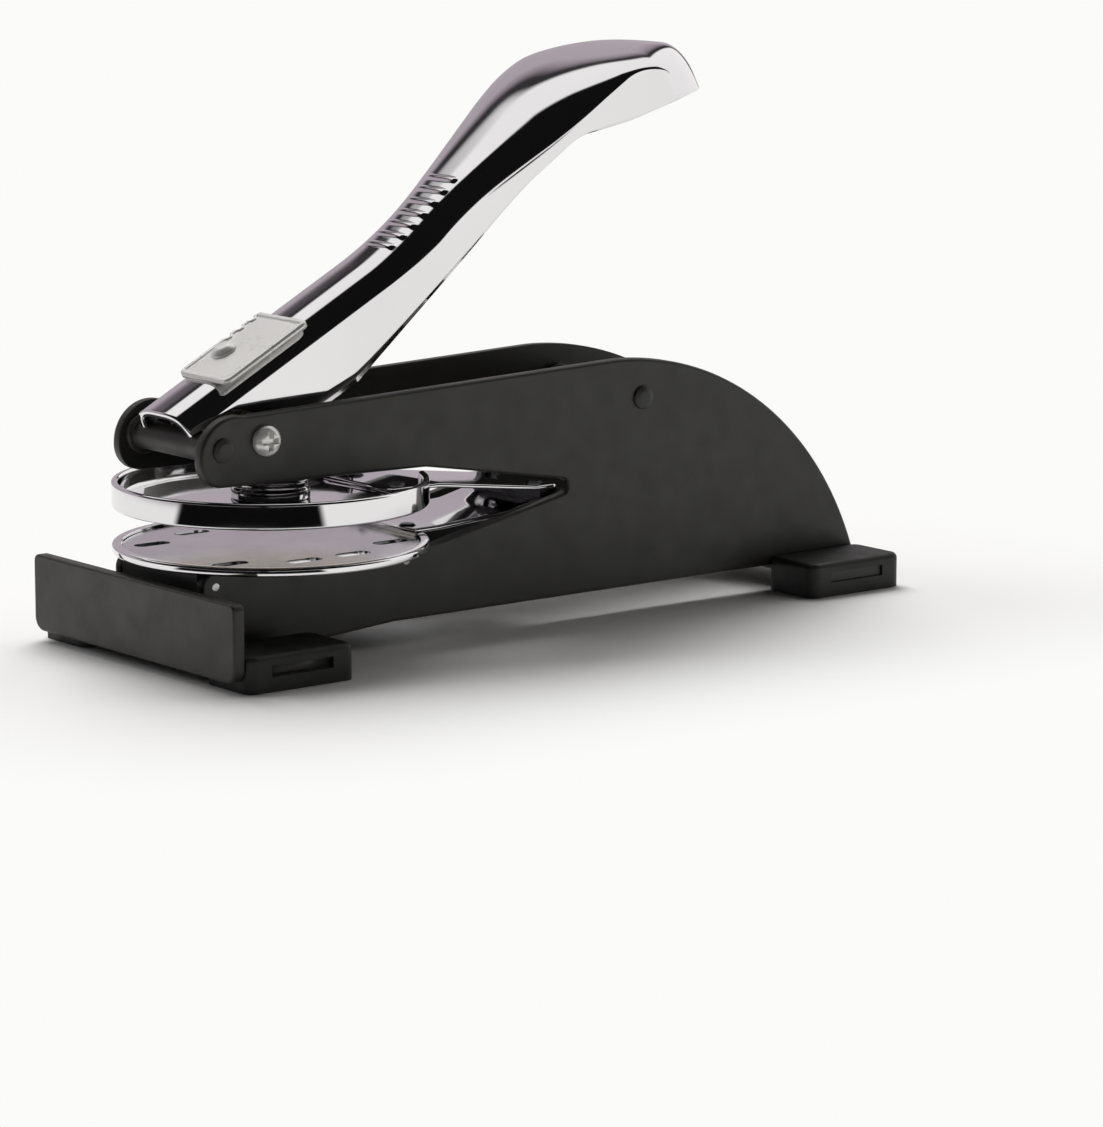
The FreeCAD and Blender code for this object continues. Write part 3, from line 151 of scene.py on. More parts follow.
def plate(name, outline, low, high, axes, body, edges=(0.3, 0.3), steps=4):
    """A sheet cut to an anticlockwise outline in two axes and thick in the third. Its rim
    turns into each face through a quarter circle: inset = r (1 - sin t), depth = r (1 - cos t)."""
    rings = []
    for level, inward, radius in ((low, 1, edges[0]), (high, -1, edges[1])):
        t = np.linspace(0, math.pi / 2, steps)
        part = [(radius * 1.3, level)] + [
            (radius * (1 - math.sin(a)), level + inward * radius * (1 - math.cos(a))) for a in t
        ]
        rings += part if inward > 0 else part[::-1]
    layers = []
    for distance, level in rings:
        flat = inset(outline, distance)
        layer = np.zeros((len(outline), 3))
        layer[:, axes[0]] = flat[:, 0]
        layer[:, axes[1]] = flat[:, 1]
        layer[:, 3 - axes[0] - axes[1]] = level
        layers.append(layer)
    n = len(outline)
    points = np.stack(layers)
    faces = grid_faces(len(layers), n, close_columns=True)
    last = (len(layers) - 1) * n
    caps = [list(range(n))[::-1], [last + i for i in range(n)]]
    flipped = (axes[1] - axes[0]) % 3 == 2
    faces = [f if not flipped else f[::-1] for f in faces + caps]
    return new_piece(name, points, faces, body)


# %% A turned piece
def turned(name, profile, centre, axis, body, segments=128, closed=False):
    """A profile of (radius, height) points carried round an axis: x = r cos a, y = r sin a.
    A closed profile makes a ring; an open one starts and ends on the axis."""
    profile = np.asarray(profile, float)
    a = np.linspace(0, 2 * math.pi, segments, endpoint=False)
    r, h = profile[:, 0][:, None], profile[:, 1][:, None]
    local = np.stack([r * np.cos(a), r * np.sin(a), h + 0 * a], -1)
    order = {"X": (2, 0, 1), "Y": (1, 2, 0), "Z": (0, 1, 2)}[axis]
    points = local[..., list(order)] + np.asarray(centre, float)
    faces = grid_faces(len(profile), segments, close_rows=closed, close_columns=True)
    piece = new_piece(name, points, faces, body)
    merge(piece)
    return piece


def merge(piece):
    """Joins the points that meet at a pole or seam, and turns all faces outwards."""
    import bmesh

    mesh = bmesh.new()
    mesh.from_mesh(piece.data)
    bmesh.ops.remove_doubles(mesh, verts=mesh.verts, dist=2e-6)
    bmesh.ops.recalc_face_normals(mesh, faces=mesh.faces)
    mesh.to_mesh(piece.data)
    mesh.free()


def lever_place(points):
    """Points (across, along the shank, off the shank) turned into the object's own axes:
    y = along cos - off sin, z = along sin + off cos, both from the pivot."""
    points = np.asarray(points, float)
    c, s = math.cos(SHANK_ANGLE), math.sin(SHANK_ANGLE)
    x, along, off = points[..., 0], points[..., 1], points[..., 2]
    return np.stack([x, PIVOT[0] + along * c - off * s, PIVOT[1] + along * s + off * c], -1)


def to_lever(piece):
    """Moves a mesh that was made in the shank's own axes to its place on the lever."""
    mesh = piece.data
    flat = np.zeros(len(mesh.vertices) * 3)
    mesh.vertices.foreach_get("co", flat)
    mesh.vertices.foreach_set("co", (lever_place(flat.reshape(-1, 3) / MM) * MM).ravel())
    mesh.update()


# %% [markdown]
# ## Finishes
#
# Five finishes carry the look. The frame has a satin black powder coat with a very fine
# orange-peel, the lever and clip are bright chrome over pressed sheet, the latch and screws
# have a paler satin plating, the feet are a duller black rubber, and the small pins and dies
# are plain turned metal. Each is built from noise on Object coordinates, so it stays with its
# piece, and only what really varies over a surface is driven by a pattern.

# %% A small kit for node materials
def material(name):
    """A new material with its nodes, its links and its Principled shader."""
    made = bpy.data.materials.new(name)
    made.use_nodes = True
    nodes, links = made.node_tree.nodes, made.node_tree.links
    return made, nodes, links, nodes["Principled BSDF"]


def noise(nodes, links, scale, detail=2.0, stretch=None):
    """Noise on the piece's own Object coordinates, stretched by a Mapping node if asked."""
    where = nodes.new("ShaderNodeTexCoord").outputs["Object"]
    if stretch:
        mapping = nodes.new("ShaderNodeMapping")
        mapping.inputs["Scale"].default_value = stretch
        links.new(where, mapping.inputs["Vector"])
        where = mapping.outputs["Vector"]
    pattern = nodes.new("ShaderNodeTexNoise")
    pattern.inputs["Scale"].default_value = scale
    pattern.inputs["Detail"].default_value = detail
    links.new(where, pattern.inputs["Vector"])
    return pattern.outputs["Fac"]


def ramp(nodes, links, factor, stops):
    """A colour ramp with (position, grey or colour) stops."""
    made = nodes.new("ShaderNodeValToRGB")
    while len(made.color_ramp.elements) < len(stops):
        made.color_ramp.elements.new(0.5)
    for element, (position, value) in zip(made.color_ramp.elements, stops):
        element.position = position
        rgb = (value,) * 3 if isinstance(value, (int, float)) else value
        element.color = (*rgb, 1)
    links.new(factor, made.inputs["Fac"])
    return made.outputs["Color"]


def bump(nodes, links, height, depth, shader):
    """Relief of a given depth in metres."""
    made = nodes.new("ShaderNodeBump")
    made.inputs["Distance"].default_value = depth
    links.new(height, made.inputs["Height"])
    links.new(made.outputs["Normal"], shader.inputs["Normal"])
    return made


# %% Satin black powder coat
def black_coat():
    """Near-black, with fine orange-peel relief, faint cloudiness and a soft sheen."""
    made, nodes, links, shader = material("satin black powder coat")
    clouds = noise(nodes, links, 45, 3)
    links.new(ramp(nodes, links, clouds, [(0.3, (0.027, 0.026, 0.023)), (0.7, (0.031, 0.030, 0.027))]),
              shader.inputs["Base Color"])
    links.new(ramp(nodes, links, noise(nodes, links, 260, 2), [(0.3, 0.40), (0.7, 0.50)]),
              shader.inputs["Roughness"])
    peel = noise(nodes, links, 2600, 2)
    bump(nodes, links, peel, 0.00003, shader).inputs["Strength"].default_value = 0.35
    return made


# %% Bright chrome and its satin version
def plating(name, rough, tint, metallic):
    """Plated sheet: haze between two roughnesses, and the slow waviness of a pressing."""
    made, nodes, links, shader = material(name)
    shader.inputs["Metallic"].default_value = metallic
    haze = noise(nodes, links, 90, 3)
    links.new(ramp(nodes, links, haze, [(0.35, rough[0]), (0.75, rough[1])]), shader.inputs["Roughness"])
    shade = tuple(c * 0.94 for c in tint)
    links.new(ramp(nodes, links, noise(nodes, links, 30, 2), [(0.3, shade), (0.7, tint)]),
              shader.inputs["Base Color"])
    ripple = noise(nodes, links, 55, 1)
    bump(nodes, links, ripple, 0.00004, shader).inputs["Strength"].default_value = 0.25
    return made


# %% Rubber, turned steel, black oxide, bronze and brass
def rubber():
    """Black rubber: matt, slightly mottled, with fine grain."""
    made, nodes, links, shader = material("black rubber")
    mottle = noise(nodes, links, 60, 4)
    links.new(ramp(nodes, links, mottle, [(0.3, (0.010, 0.010, 0.009)), (0.7, (0.015, 0.014, 0.013))]),
              shader.inputs["Base Color"])
    links.new(ramp(nodes, links, noise(nodes, links, 300, 2), [(0.3, 0.48), (0.7, 0.60)]),
              shader.inputs["Roughness"])
    bump(nodes, links, noise(nodes, links, 1800, 3), 0.00005, shader).inputs["Strength"].default_value = 0.4
    return made


def metal(name, dark, light, rough, stretch=(1, 1, 1), grain=900):
    """Plain metal with tool marks that run along one axis."""
    made, nodes, links, shader = material(name)
    shader.inputs["Metallic"].default_value = 1.0
    marks = noise(nodes, links, grain, 3, stretch)
    links.new(ramp(nodes, links, noise(nodes, links, 80, 2), [(0.3, dark), (0.7, light)]),
              shader.inputs["Base Color"])
    links.new(ramp(nodes, links, marks, [(0.3, rough[0]), (0.7, rough[1])]), shader.inputs["Roughness"])
    bump(nodes, links, marks, 0.00002, shader).inputs["Strength"].default_value = 0.3
    return made


FINISH = {
    "black_paint": black_coat(),
    "chrome": plating("bright chrome", (0.045, 0.085), (0.80, 0.79, 0.80), 1.0),
    "satin_chrome": plating("satin chrome", (0.24, 0.36), (0.88, 0.87, 0.84), 0.45),
    "foot_rubber": rubber(),
    "steel": metal("turned steel", (0.42, 0.42, 0.42), (0.58, 0.58, 0.58), (0.22, 0.36)),
    "black_oxide": metal("black oxide", (0.030, 0.030, 0.033), (0.050, 0.050, 0.055), (0.30, 0.45)),
    "bronze": metal("bronze", (0.45, 0.30, 0.14), (0.58, 0.40, 0.19), (0.25, 0.38)),
    "die_steel": metal("ground die steel", (0.55, 0.54, 0.56), (0.68, 0.67, 0.69), (0.10, 0.20), (1, 8, 1)),
    "die_brass": metal("die brass", (0.36, 0.31, 0.22), (0.44, 0.38, 0.27), (0.18, 0.30)),
}
SLOT_BY_NODE = {s["node"]: s["material_slot"] for s in frame["record"]["subparts"]}


def finish(piece, slot):
    """Gives a piece one finish in all its material slots."""
    piece.data.materials.clear()
    piece.data.materials.append(FINISH[slot])


for node_name, node_object in frame["nodes"].items():
    finish(node_object, SLOT_BY_NODE[node_name])
for name in ("upper_arm_rivets", "lower_arm_rivets"):
    finish(frame["nodes"][name], "black_oxide")
print("finishes:", ", ".join(FINISH))

# %% [markdown]
# ## Side plates
#
# Each side plate is 2 mm sheet steel, cut with a V-shaped mouth for the paper and a big round
# tail, then powder coated, which softens its outer edges. The outline is a polygon whose
# corners are turned into arcs; the tail is one long arc of 59.5 mm. An extrusion with a
# quarter-round rim gives the thin light line that such a coated edge shows.

# %% Side plates
def tail_arc(radius, top_y, top_z, bottom_z, count=40):
    """The tail: a circle that touches the top edge at (top_y, top_z) and ends at bottom_z."""
    centre_z = top_z - radius
    end = math.acos((bottom_z - centre_z) / radius)
    a = np.linspace(end, 0, count)
    return np.stack([top_y + radius * np.sin(a), centre_z + radius * np.cos(a)], -1)


corners = [
    (5.5, 45.1, 7.0), (5.5, 31.1, 4.5), (52.0, 30.3, 8.0), (88.6, 24.0, 1.35), (54.0, 17.0, 8.0),
    (5.5, 17.0, 2.4), (5.5, 4.3, 0.0), (20.4, 4.3, 0.0), (20.4, 2.7, 0.0), (24.4, 2.7, 0.0),
    (45.0, 4.3, 0.0),
]
side_outline = rounded([(FRONT + a, b, r) for a, b, r in corners] + [(FRONT + 152.0, 4.3, 0)])[:-1]
side_outline = np.concatenate([side_outline, tail_arc(59.5, FRONT + 93.3, 45.1, 4.3)])
for word, low, high, edges in (
    ("right", PLATE_IN, PLATE_OUT, (0.15, 0.5)),
    ("left", -PLATE_OUT, -PLATE_IN, (0.5, 0.15)),
):
    side = plate(f"side_plate_{word}_coated", side_outline, low, high, (1, 2), "frame", edges)
    finish(side, "black_paint")
    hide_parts(f"side_plate_{word}")
print("side plates:", len(side_outline), "points round")

# %% [markdown]
# ## Front plate
#
# The wide front plate shields the base and is bent back at its foot into a leg that carries
# the front feet. It is one sheet, so the plate and the leg are cut as two plates that meet in
# the bend.

# %% Front plate and its leg
FACE = rounded([(-30.1, 1.8, 2.4), (30.1, 1.8, 2.4), (30.1, 15.0, 1.2), (-30.1, 15.0, 1.2)])
front_face = plate("front_plate_face", FACE, FRONT, FRONT + 2.2, (0, 2), "frame", (0.35, 0.25))
finish(front_face, "black_paint")
tongues = [
    (-18.0, 1.9), (18.0, 1.9), (18.0, 7.0), (30.3, 7.0), (30.3, 19.0), (18.0, 19.0),
    (18.0, 20.0), (-18.0, 20.0), (-18.0, 19.0), (-30.3, 19.0), (-30.3, 7.0), (-18.0, 7.0),
]
leg_outline = np.array([(a, FRONT + b) for a, b in tongues])
front_leg = plate("front_plate_leg", leg_outline, 2.7, 4.3, (0, 1), "frame", (0.1, 0.1))
finish(front_leg, "black_paint")
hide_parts("front_plate")

# %% [markdown]
# ## Die clip
#
# Two round discs hold the seal. The upper one is a shallow dish, open on top, with a rolled
# rim that is cut away at the back for its spring arm. The lower one is a flat pan with a low
# rim. Both are turned shapes; the notch in the upper rim is made by lowering the rim's height
# over a few degrees at the back.

# %% Upper disc
def dish(segments=360):
    """A profile carried round, whose rim falls to floor height inside the notch:
    height = floor + (rim - floor) * (1 - notch), notch = a short ramp in |x| at the back."""
    floor_low, floor_top, rim_top, radius, wall = 24.8, 25.8, 29.2, 27.0, 1.2
    notch_half, notch_ramp = 10.5, 0.35
    section = rounded([
        (0, floor_low, 0), (radius, floor_low, 0.4), (radius, rim_top, 0.45),
        (radius - wall, rim_top, 0.55), (radius - wall, floor_top, 0.8), (0, floor_top, 0),
    ], closed=False, step=math.radians(15))
    a = np.linspace(0, 2 * math.pi, segments, endpoint=False)
    r, z = section[:, 0][:, None], section[:, 1][:, None]
    x, y = r * np.cos(a), r * np.sin(a)
    gate = np.clip((notch_half - np.abs(np.cos(a) * radius)) / notch_ramp, 0, 1) * (np.sin(a) > 0)
    height = np.where(z > floor_top, floor_top + (z - floor_top) * (1 - gate), z + 0 * gate)
    return np.stack([x, y + PLUNGER_Y, height], -1), segments


points, segments = dish()
upper = new_piece("upper_disc_rolled", points, grid_faces(len(points), segments, close_columns=True),
                  "plunger")
merge(upper)
finish(upper, "chrome")
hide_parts("upper_disc")

# %% Lower disc's rim and the collar of the plunger
rim = turned("lower_disc_rim", rounded([
    (27.03, 17.0, 0.35), (27.03, 18.43, 0.45), (25.4, 18.43, 0.15), (25.4, 17.0, 0.1),
], step=math.radians(15)), (0, PLUNGER_Y, 0), "Z", "frame", 240, closed=True)
finish(rim, "chrome")
collar = turned("plunger_collar", rounded([
    (0, 25.85, 0), (6.75, 25.85, 0.3), (6.75, 27.5, 0.25), (6.35, 27.9, 0.2), (6.35, 28.8, 0.2),
    (6.75, 29.2, 0.25), (6.75, 30.9, 0.45), (5.0, 30.9, 0.3), (5.0, 36.69, 0.3), (3.6, 36.69, 0.0),
    (3.6, 35.3, 0.0), (0, 35.3, 0),
], closed=False, step=math.radians(15)), (0, PLUNGER_Y, 0), "Z", "plunger")
finish(collar, "chrome")
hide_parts("plunger")

# %% [markdown]
# ## Spring arms
#
# A flat chromed arm runs from each disc to the heel in the point of the mouth. The lower one
# stands still. The upper one is a leaf spring: its front end goes down with the upper disc and
# its back end stays on the heel; here it is left free of any body.

# %% Both arms
def arm(name, spine, half, thick, slot, body):
    """A strip: a path in (y, z) moved by half its thickness each way along its normal, swept
    across from -half to half, with the long edges drawn in a little so that they look rolled."""
    spine = np.asarray(spine, float)
    forward = np.gradient(spine, axis=0)
    forward /= np.linalg.norm(forward, axis=1, keepdims=True)
    normal = np.stack([-forward[:, 1], forward[:, 0]], -1)
    across = np.array([-1, -0.988, -0.9, -0.5, 0, 0.5, 0.9, 0.988, 1]) * half
    lift = np.array([0.35, 0.5, 0.5, 0.5, 0.5, 0.5, 0.5, 0.5, 0.35]) * thick
    loop_x = np.concatenate([across, across[::-1]])
    loop_n = np.concatenate([lift, -lift[::-1]])
    points = np.zeros((len(spine), len(loop_x), 3))
    points[..., 0] = loop_x
    points[..., 1] = spine[:, 0][:, None] + normal[:, 0][:, None] * loop_n
    points[..., 2] = spine[:, 1][:, None] + normal[:, 1][:, None] * loop_n
    n = len(loop_x)
    faces = grid_faces(len(spine), n, close_columns=True)
    faces += [list(range(n)), [(len(spine) - 1) * n + i for i in range(n)][::-1]]
    piece = new_piece(name, points, faces, body)
    merge(piece)
    finish(piece, slot)
    return piece


def dense(corners, count=60):
    """A path with rounded corners, resampled at even spacing."""
    path = rounded([(FRONT + a, b, r) for a, b, r in corners], closed=False)
    run = np.concatenate([[0], np.cumsum(np.linalg.norm(np.diff(path, axis=0), axis=1))])
    at = np.linspace(0, run[-1], count)
    return np.stack([np.interp(at, run, path[:, 0]), np.interp(at, run, path[:, 1])], -1)


ARM_HALF = 9.95
ARM_THICK = 0.68
lower_arm = arm("lower_arm_leaf", dense([
    (51.7, 18.78, 0), (57.0, 18.78, 12), (71.6, 19.72, 12), (78.6, 21.3, 5), (82.3, 21.3, 0),
]), ARM_HALF, ARM_THICK, "chrome", "frame")
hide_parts("lower_clip_arm")
upper_arm = arm("upper_arm_leaf", dense([
    (46.7, 26.16, 0), (57.0, 26.16, 14), (78.6, 23.4, 5), (82.3, 23.4, 0),
]), ARM_HALF, ARM_THICK, "chrome", None)
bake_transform(upper_arm)
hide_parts("upper_clip_arm")

# %% [markdown]
# ## Lever
#
# The lever is one chromed sheet, pressed into a channel that is open below and in front, and
# that widens into a flat palm crown. Its side view is drawn as straight lines with arcs where
# they meet. Its plan widens by a smooth step and closes in a superellipse. Each cross-section
# is half a superellipse over two straight walls: square on the shank, rounder where the shank
# flares, shallow on the crown, and deep again where the crown droops to its tip. It could be
# lofted between curves by hand; as a formula its highlights run unbroken from end to end. A
# wall is given to the surface with Solidify.

# %% Side view and plan of the lever
NOSE = -9.2
TIP = 113.7
SHANK_HALF = 7.5
CROWN_HALF = 16.0
EAR = 4.2
TOP_LINE = rounded([
    (NOSE, 9.83, 0), (44.5, 9.83, 76), (100.9, 21.3, 45.5), (116.5, 5.8, 0),
], closed=False, step=math.radians(1))
LOW_LINE = rounded([
    (24, -4.6, 0), (54, 2.0, 60), (69, 7.6, 40), (80, 10.4, 8), (90, 7.6, 30), (104, 4.5, 30),
    (110.5, 1.4, 8), (TIP, -1.2, 0),
], closed=False, step=math.radians(2))


def lever_low(s):
    """The walls' lower edge: a step at the front, the ear's circle, then the long climb."""
    front_step = 5.8
    first, low_first = LOW_LINE[0]
    ear = -np.sqrt(np.clip(EAR**2 - np.clip(s, -EAR, 0) ** 2, 0, None))
    slope = -EAR + (low_first + EAR) * np.clip(s, 0, first) / first
    low = np.where(s < -EAR, front_step, np.where(s < 0, ear, slope))
    return np.where(s < first, low, np.interp(s, LOW_LINE[:, 0], LOW_LINE[:, 1]))


def lever_half(s):
    """Half the plan's width: straight, a smooth step outwards, then a superellipse
    (1 - v^p)^(1/p) to the tip."""
    flare_start, flare_end, closing, p = 50.0, 92.0, 99.5, 1.83
    u = np.clip((s - flare_start) / (flare_end - flare_start), 0, 1)
    width = SHANK_HALF + (CROWN_HALF - SHANK_HALF) * u * u * (3 - 2 * u)
    v = np.clip((s - closing) / (TIP - closing), 0, 1)
    return width * (1 - v**p) ** (1 / p)


def eased(s, places, values):
    """Values between places along the lever, joined by lines whose corners are averaged out
    over 12 stations each way."""
    reach = 12
    line = np.interp(s, places, values)
    window = np.ones(2 * reach + 1) / (2 * reach + 1)
    return np.convolve(np.pad(line, reach, "edge"), window, "valid")


# %% The lever's surface
def lever_surface():
    """For each station: up one wall, over the cap, and down the other. The cap's height is
    top - depth (1 - sqrt(1 - |x / half|^power)). Grip ribs are pressed up out of its top."""
    end = 14.2
    s = np.concatenate([
        np.linspace(NOSE, -EAR - 0.01, 12), [-EAR + 0.01], np.linspace(-4.1, 0, 14)[1:],
        np.linspace(0.3, 41, 90), np.linspace(41.2, 62.5, 110), np.linspace(63, TIP - end, 104),
        TIP - end * np.linspace(1, 0, 80)[1:] ** 2,
    ])
    top = np.interp(s, TOP_LINE[:, 0], TOP_LINE[:, 1])
    low, half = lever_low(s), lever_half(s)
    places = [0, 40, 62, 80, 97, 108, TIP]
    power = eased(s, places, [3.6, 3.4, 4.4, 2.7, 2.5, 5.5, 2.3])
    depth = eased(s, places, [4.3, 4.3, 5.5, 5.5, 1.6, 8.0, 4.4])
    low, top, half, power, depth = (v[:, None] for v in (low, top, half, power, depth))
    turn = np.linspace(0, math.pi / 4, 16)
    shoulder = np.cos(turn) ** (2 / power)
    over = shoulder[:, -1:] * np.linspace(1, -1, 44)[1:-1]
    x = np.concatenate([shoulder, over, -shoulder[:, ::-1]], 1)
    cap = np.sqrt(np.clip(1 - np.abs(x) ** power, 0, 1))
    cap = np.maximum(cap, np.clip(1 - (top - low) / depth, 0, 1))
    x = half * np.sign(x) * (1 - cap * cap) ** (1 / power)
    n = top - depth * (1 - cap)
    rib_first, rib_pitch, rib_count, rib_half, rib_high = 43.0, 2.8, 7, 0.72, 0.32
    rib_reach, rib_fade = 4.3, 0.7
    rib = np.zeros_like(s)
    for i in range(rib_count):
        rib += np.clip(1 - ((s - (rib_first + rib_pitch * i)) / rib_half) ** 2, 0, 1)
    reach = np.clip((rib_reach - np.abs(x)) / rib_fade, 0, 1)
    n = n + rib_high * rib[:, None] * reach * reach * (3 - 2 * reach)
    rise = np.linspace(0, 1, 6)[:-1]
    wall_x = np.repeat(x[:, :1], len(rise), 1)
    wall_n = low + (n[:, :1] - low) * rise
    x = np.concatenate([wall_x, x, -wall_x], 1)
    n = np.concatenate([wall_n, n, wall_n[:, ::-1]], 1)
    return lever_place(np.stack([x, np.repeat(s[:, None], x.shape[1], 1), n], -1))


skin = lever_surface()
lever = new_piece("lever_pressing", skin, grid_faces(*skin.shape[:2]), "lever")
merge(lever)
finish(lever, "chrome")
wall = lever.modifiers.new("sheet", "SOLIDIFY")
wall.thickness = 1.2 * MM
wall.offset = -1
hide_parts("handle_shell")
print("lever:", skin.shape[0], "stations of", skin.shape[1], "points")

# %% [markdown]
# ## Latch
#
# A small satin-plated slide rides on the shank. It has a raised border, three thumb notches on
# one edge and a domed rivet that runs in a slot below it. It is made as a height map over its
# own rectangle: the border and the bevelled ends are smooth steps in that map.

# %% Latch plate
def step(value, at, width):
    """A smooth step from 0 to 1 that is half way at a value."""
    u = np.clip((value - at) / width + 0.5, 0, 1)
    return u * u * (3 - 2 * u)


def latch_surface():
    """Height over the plate: base + border, where border = a smooth step towards the edges;
    the notched edge is drawn in by three half circles."""
    start, end, half_wide, corner, offset = 0.6, 19.6, 7.2, 1.3, 1.2
    top, border, bevel = 10.45, 0.25, 0.3
    notch, notch_last, notch_pitch = 0.8, 17.4, 2.8
    u = np.linspace(-1, 1, 90)[None, :]
    v = 0.5 - 0.5 * np.cos(math.pi * np.linspace(0, 1, 220))[:, None]
    y = start + (end - start) * v + 0 * u
    from_end = np.minimum(y - start, end - y)
    into_corner = np.clip(corner - from_end, 0, corner)
    half = half_wide - corner + np.sqrt(np.clip(corner**2 - into_corner**2, 0, None))
    bite = 0
    for i in range(3):
        bite = bite + np.sqrt(np.clip(notch**2 - (y - (notch_last - notch_pitch * i)) ** 2, 0, None))
    x = offset + u * half + np.where(u < 0, bite * np.clip(-u * 1.5 - 0.5, 0, 1), 0)
    from_edge = np.minimum(half * (1 - np.abs(u)), from_end)
    height = top + border * (1 - step(from_edge, 1.0, 0.5)) - bevel * (1 - step(from_edge, 0.12, 0.24))
    return x, y, height


LATCH_UNDERSIDE = 9.66
x, y, height = latch_surface()
top = np.stack([x, y, height], -1)
bottom = np.stack([x, y, np.full_like(x, LATCH_UNDERSIDE)], -1)
rows, columns = x.shape
points = np.concatenate([top.reshape(-1, 3), bottom.reshape(-1, 3)])
ring = np.concatenate([
    np.arange(columns), np.arange(1, rows) * columns + columns - 1,
    (rows - 1) * columns + np.arange(columns - 2, -1, -1), np.arange(rows - 2, 0, -1) * columns,
])
after = np.roll(ring, -1)
skirt = np.stack([ring, ring + rows * columns, after + rows * columns, after], -1).tolist()
under = [f[::-1] for f in grid_faces(rows, columns, start=rows * columns)]
latch = new_piece("latch_slide_plate", points, grid_faces(rows, columns) + under + skirt, "latch")
to_lever(latch)
merge(latch)
finish(latch, "satin_chrome")
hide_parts("latch_plate")

# %% Latch rivet
button = turned("latch_button", rounded([
    (0, 7.6, 0), (1.2, 7.6, 0.0), (1.2, 10.4, 0.0), (2.3, 10.4, 0.1), (2.3, 10.85, 0.5), (1.2, 11.6, 1.4),
    (0, 11.6, 0),
], closed=False, step=math.radians(10)), (-2.0, 8.2, 0), "Z", "latch", 96)
to_lever(button)
finish(button, "satin_chrome")
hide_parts("latch_rivet")

# %% [markdown]
# ## Small turned pieces
#
# The spacer rods between the side plates are riveted over outside, the flush pins show as
# small bright discs, and the pivot screws have a cross recess. Turned profiles give the rods
# and pins; the screw heads are a dome in polar form with the cross pressed into it.

# %% Spacer rods and flush pins
for name, along, height in (("nose_spacer", 10.0, 37.3), ("rear_spacer", 99.4, 37.9)):
    half_profile = [
        (2.5, 9.75, 0.3), (3.4, 9.95, 0.3), (3.4, 11.25, 0), (1.6, 11.25, 0), (1.6, 13.25, 0),
        (2.1, 13.25, 0.1), (2.1, 13.6, 0.25), (1.2, 13.95, 0.5), (0, 13.95, 0),
    ]
    profile = [(0, -13.95, 0)] + [(r, -h, c) for r, h, c in half_profile[:-1]][::-1] + half_profile
    rod = turned(name + "_rod", rounded(profile, closed=False, step=math.radians(15)),
                 (0, FRONT + along, height), "X", "frame")
    finish(rod, "black_paint")
    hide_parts(name)
for along in (8.1, 47.4):
    pin = turned(f"flush_pin_{int(along)}", [
        (0, -13.29), (0.6, -13.28), (0.9, -13.22), (0.9, 13.22), (0.6, 13.28), (0, 13.29),
    ], (0, FRONT + along, 14.6), "X", "frame", 48)
    finish(pin, "steel")
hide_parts("bed_pins")

# %% Pivot screws
def screw_head(side):
    """A pan head in polar form: h = 1.8 - 0.9 (r / radius)^4, less 0.95 mm inside the cross,
    whose arms are smooth steps in both directions."""
    radius = 2.55
    r = np.linspace(0, 1, 60)[:, None] * radius
    a = np.linspace(0, 2 * math.pi, 160, endpoint=False)[None, :]
    x, y = r * np.cos(a), r * np.sin(a)
    dome = 1.8 - 0.9 * (r / radius) ** 4 + 0 * a
    arm_one = step(0.42 - np.abs(x), 0, 0.16) * step(1.55 - np.abs(y), 0, 0.25)
    arm_two = step(0.42 - np.abs(y), 0, 0.16) * step(1.55 - np.abs(x), 0, 0.25)
    height = dome - 0.95 * np.maximum(arm_one, arm_two)
    skirt = np.stack([r[-1] * np.cos(a[0]), r[-1] * np.sin(a[0]), 0 * a[0]], -1)[None]
    head = np.concatenate([np.stack([x, y, height], -1), skirt], 0)
    turn = np.stack([side * (head[..., 2] + PLATE_OUT), head[..., 0] * side, head[..., 1]], -1)
    return turn + PIVOT_POINT


for side, word in ((1, "right"), (-1, "left")):
    head = screw_head(side)
    faces = grid_faces(*head.shape[:2], close_columns=True)
    screw = new_piece(f"pivot_screw_{word}", head, faces, "frame")
    merge(screw)
    finish(screw, "satin_chrome")
    if side > 0:
        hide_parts("pivot_screws")

# %% [markdown]
# ## Return spring
#
# A torsion spring round the axle pushes the lever up. Its coils wind up as the lever closes.
# The wire is one tube, left free of any body.

# %% Return spring
def spring_path():
    """A straight leg, a helix x = reach - span t with the angle growing, and the other leg."""
    dip, lift, radius, reach, coils = math.radians(10), math.radians(47.8), 3.2, 4.6, 4
    start = math.radians(-90) - dip
    sweep = 2 * math.pi * coils + math.pi / 2 + lift - dip
    t = np.linspace(0, 1, 260)
    angle = start - sweep * t
    coil = np.stack([reach - 2 * reach * t, radius * np.cos(angle), radius * np.sin(angle)], -1)
    leg = np.linspace(6.8, 0.15, 12)[:, None]
    frame_leg = coil[0] + leg * np.array([0, math.cos(dip), -math.sin(dip)])
    leg = np.linspace(0.15, 13.9, 16)[:, None]
    lever_leg = coil[-1] + leg * np.array([0, math.cos(lift), math.sin(lift)])
    return np.concatenate([frame_leg, coil, lever_leg]) + PIVOT_POINT


def tube(name, path, radius, body, slot, segments=14):
    """A circle carried along a path: two unit vectors square to the path, radius cos and sin."""
    forward = np.gradient(path, axis=0)
    forward /= np.linalg.norm(forward, axis=1, keepdims=True)
    side = np.cross(forward, [1.0, 0, 0])
    side /= np.linalg.norm(side, axis=1, keepdims=True)
    up = np.cross(side, forward)
    a = np.linspace(0, 2 * math.pi, segments, endpoint=False)[None, :, None]
    points = path[:, None] + radius * (side[:, None] * np.cos(a) + up[:, None] * np.sin(a))
    faces = grid_faces(len(path), segments, close_columns=True)
    faces += [list(range(segments)), [(len(path) - 1) * segments + i for i in range(segments)][::-1]]
    piece = new_piece(name, points, faces, body)
    merge(piece)
    finish(piece, slot)
    return piece


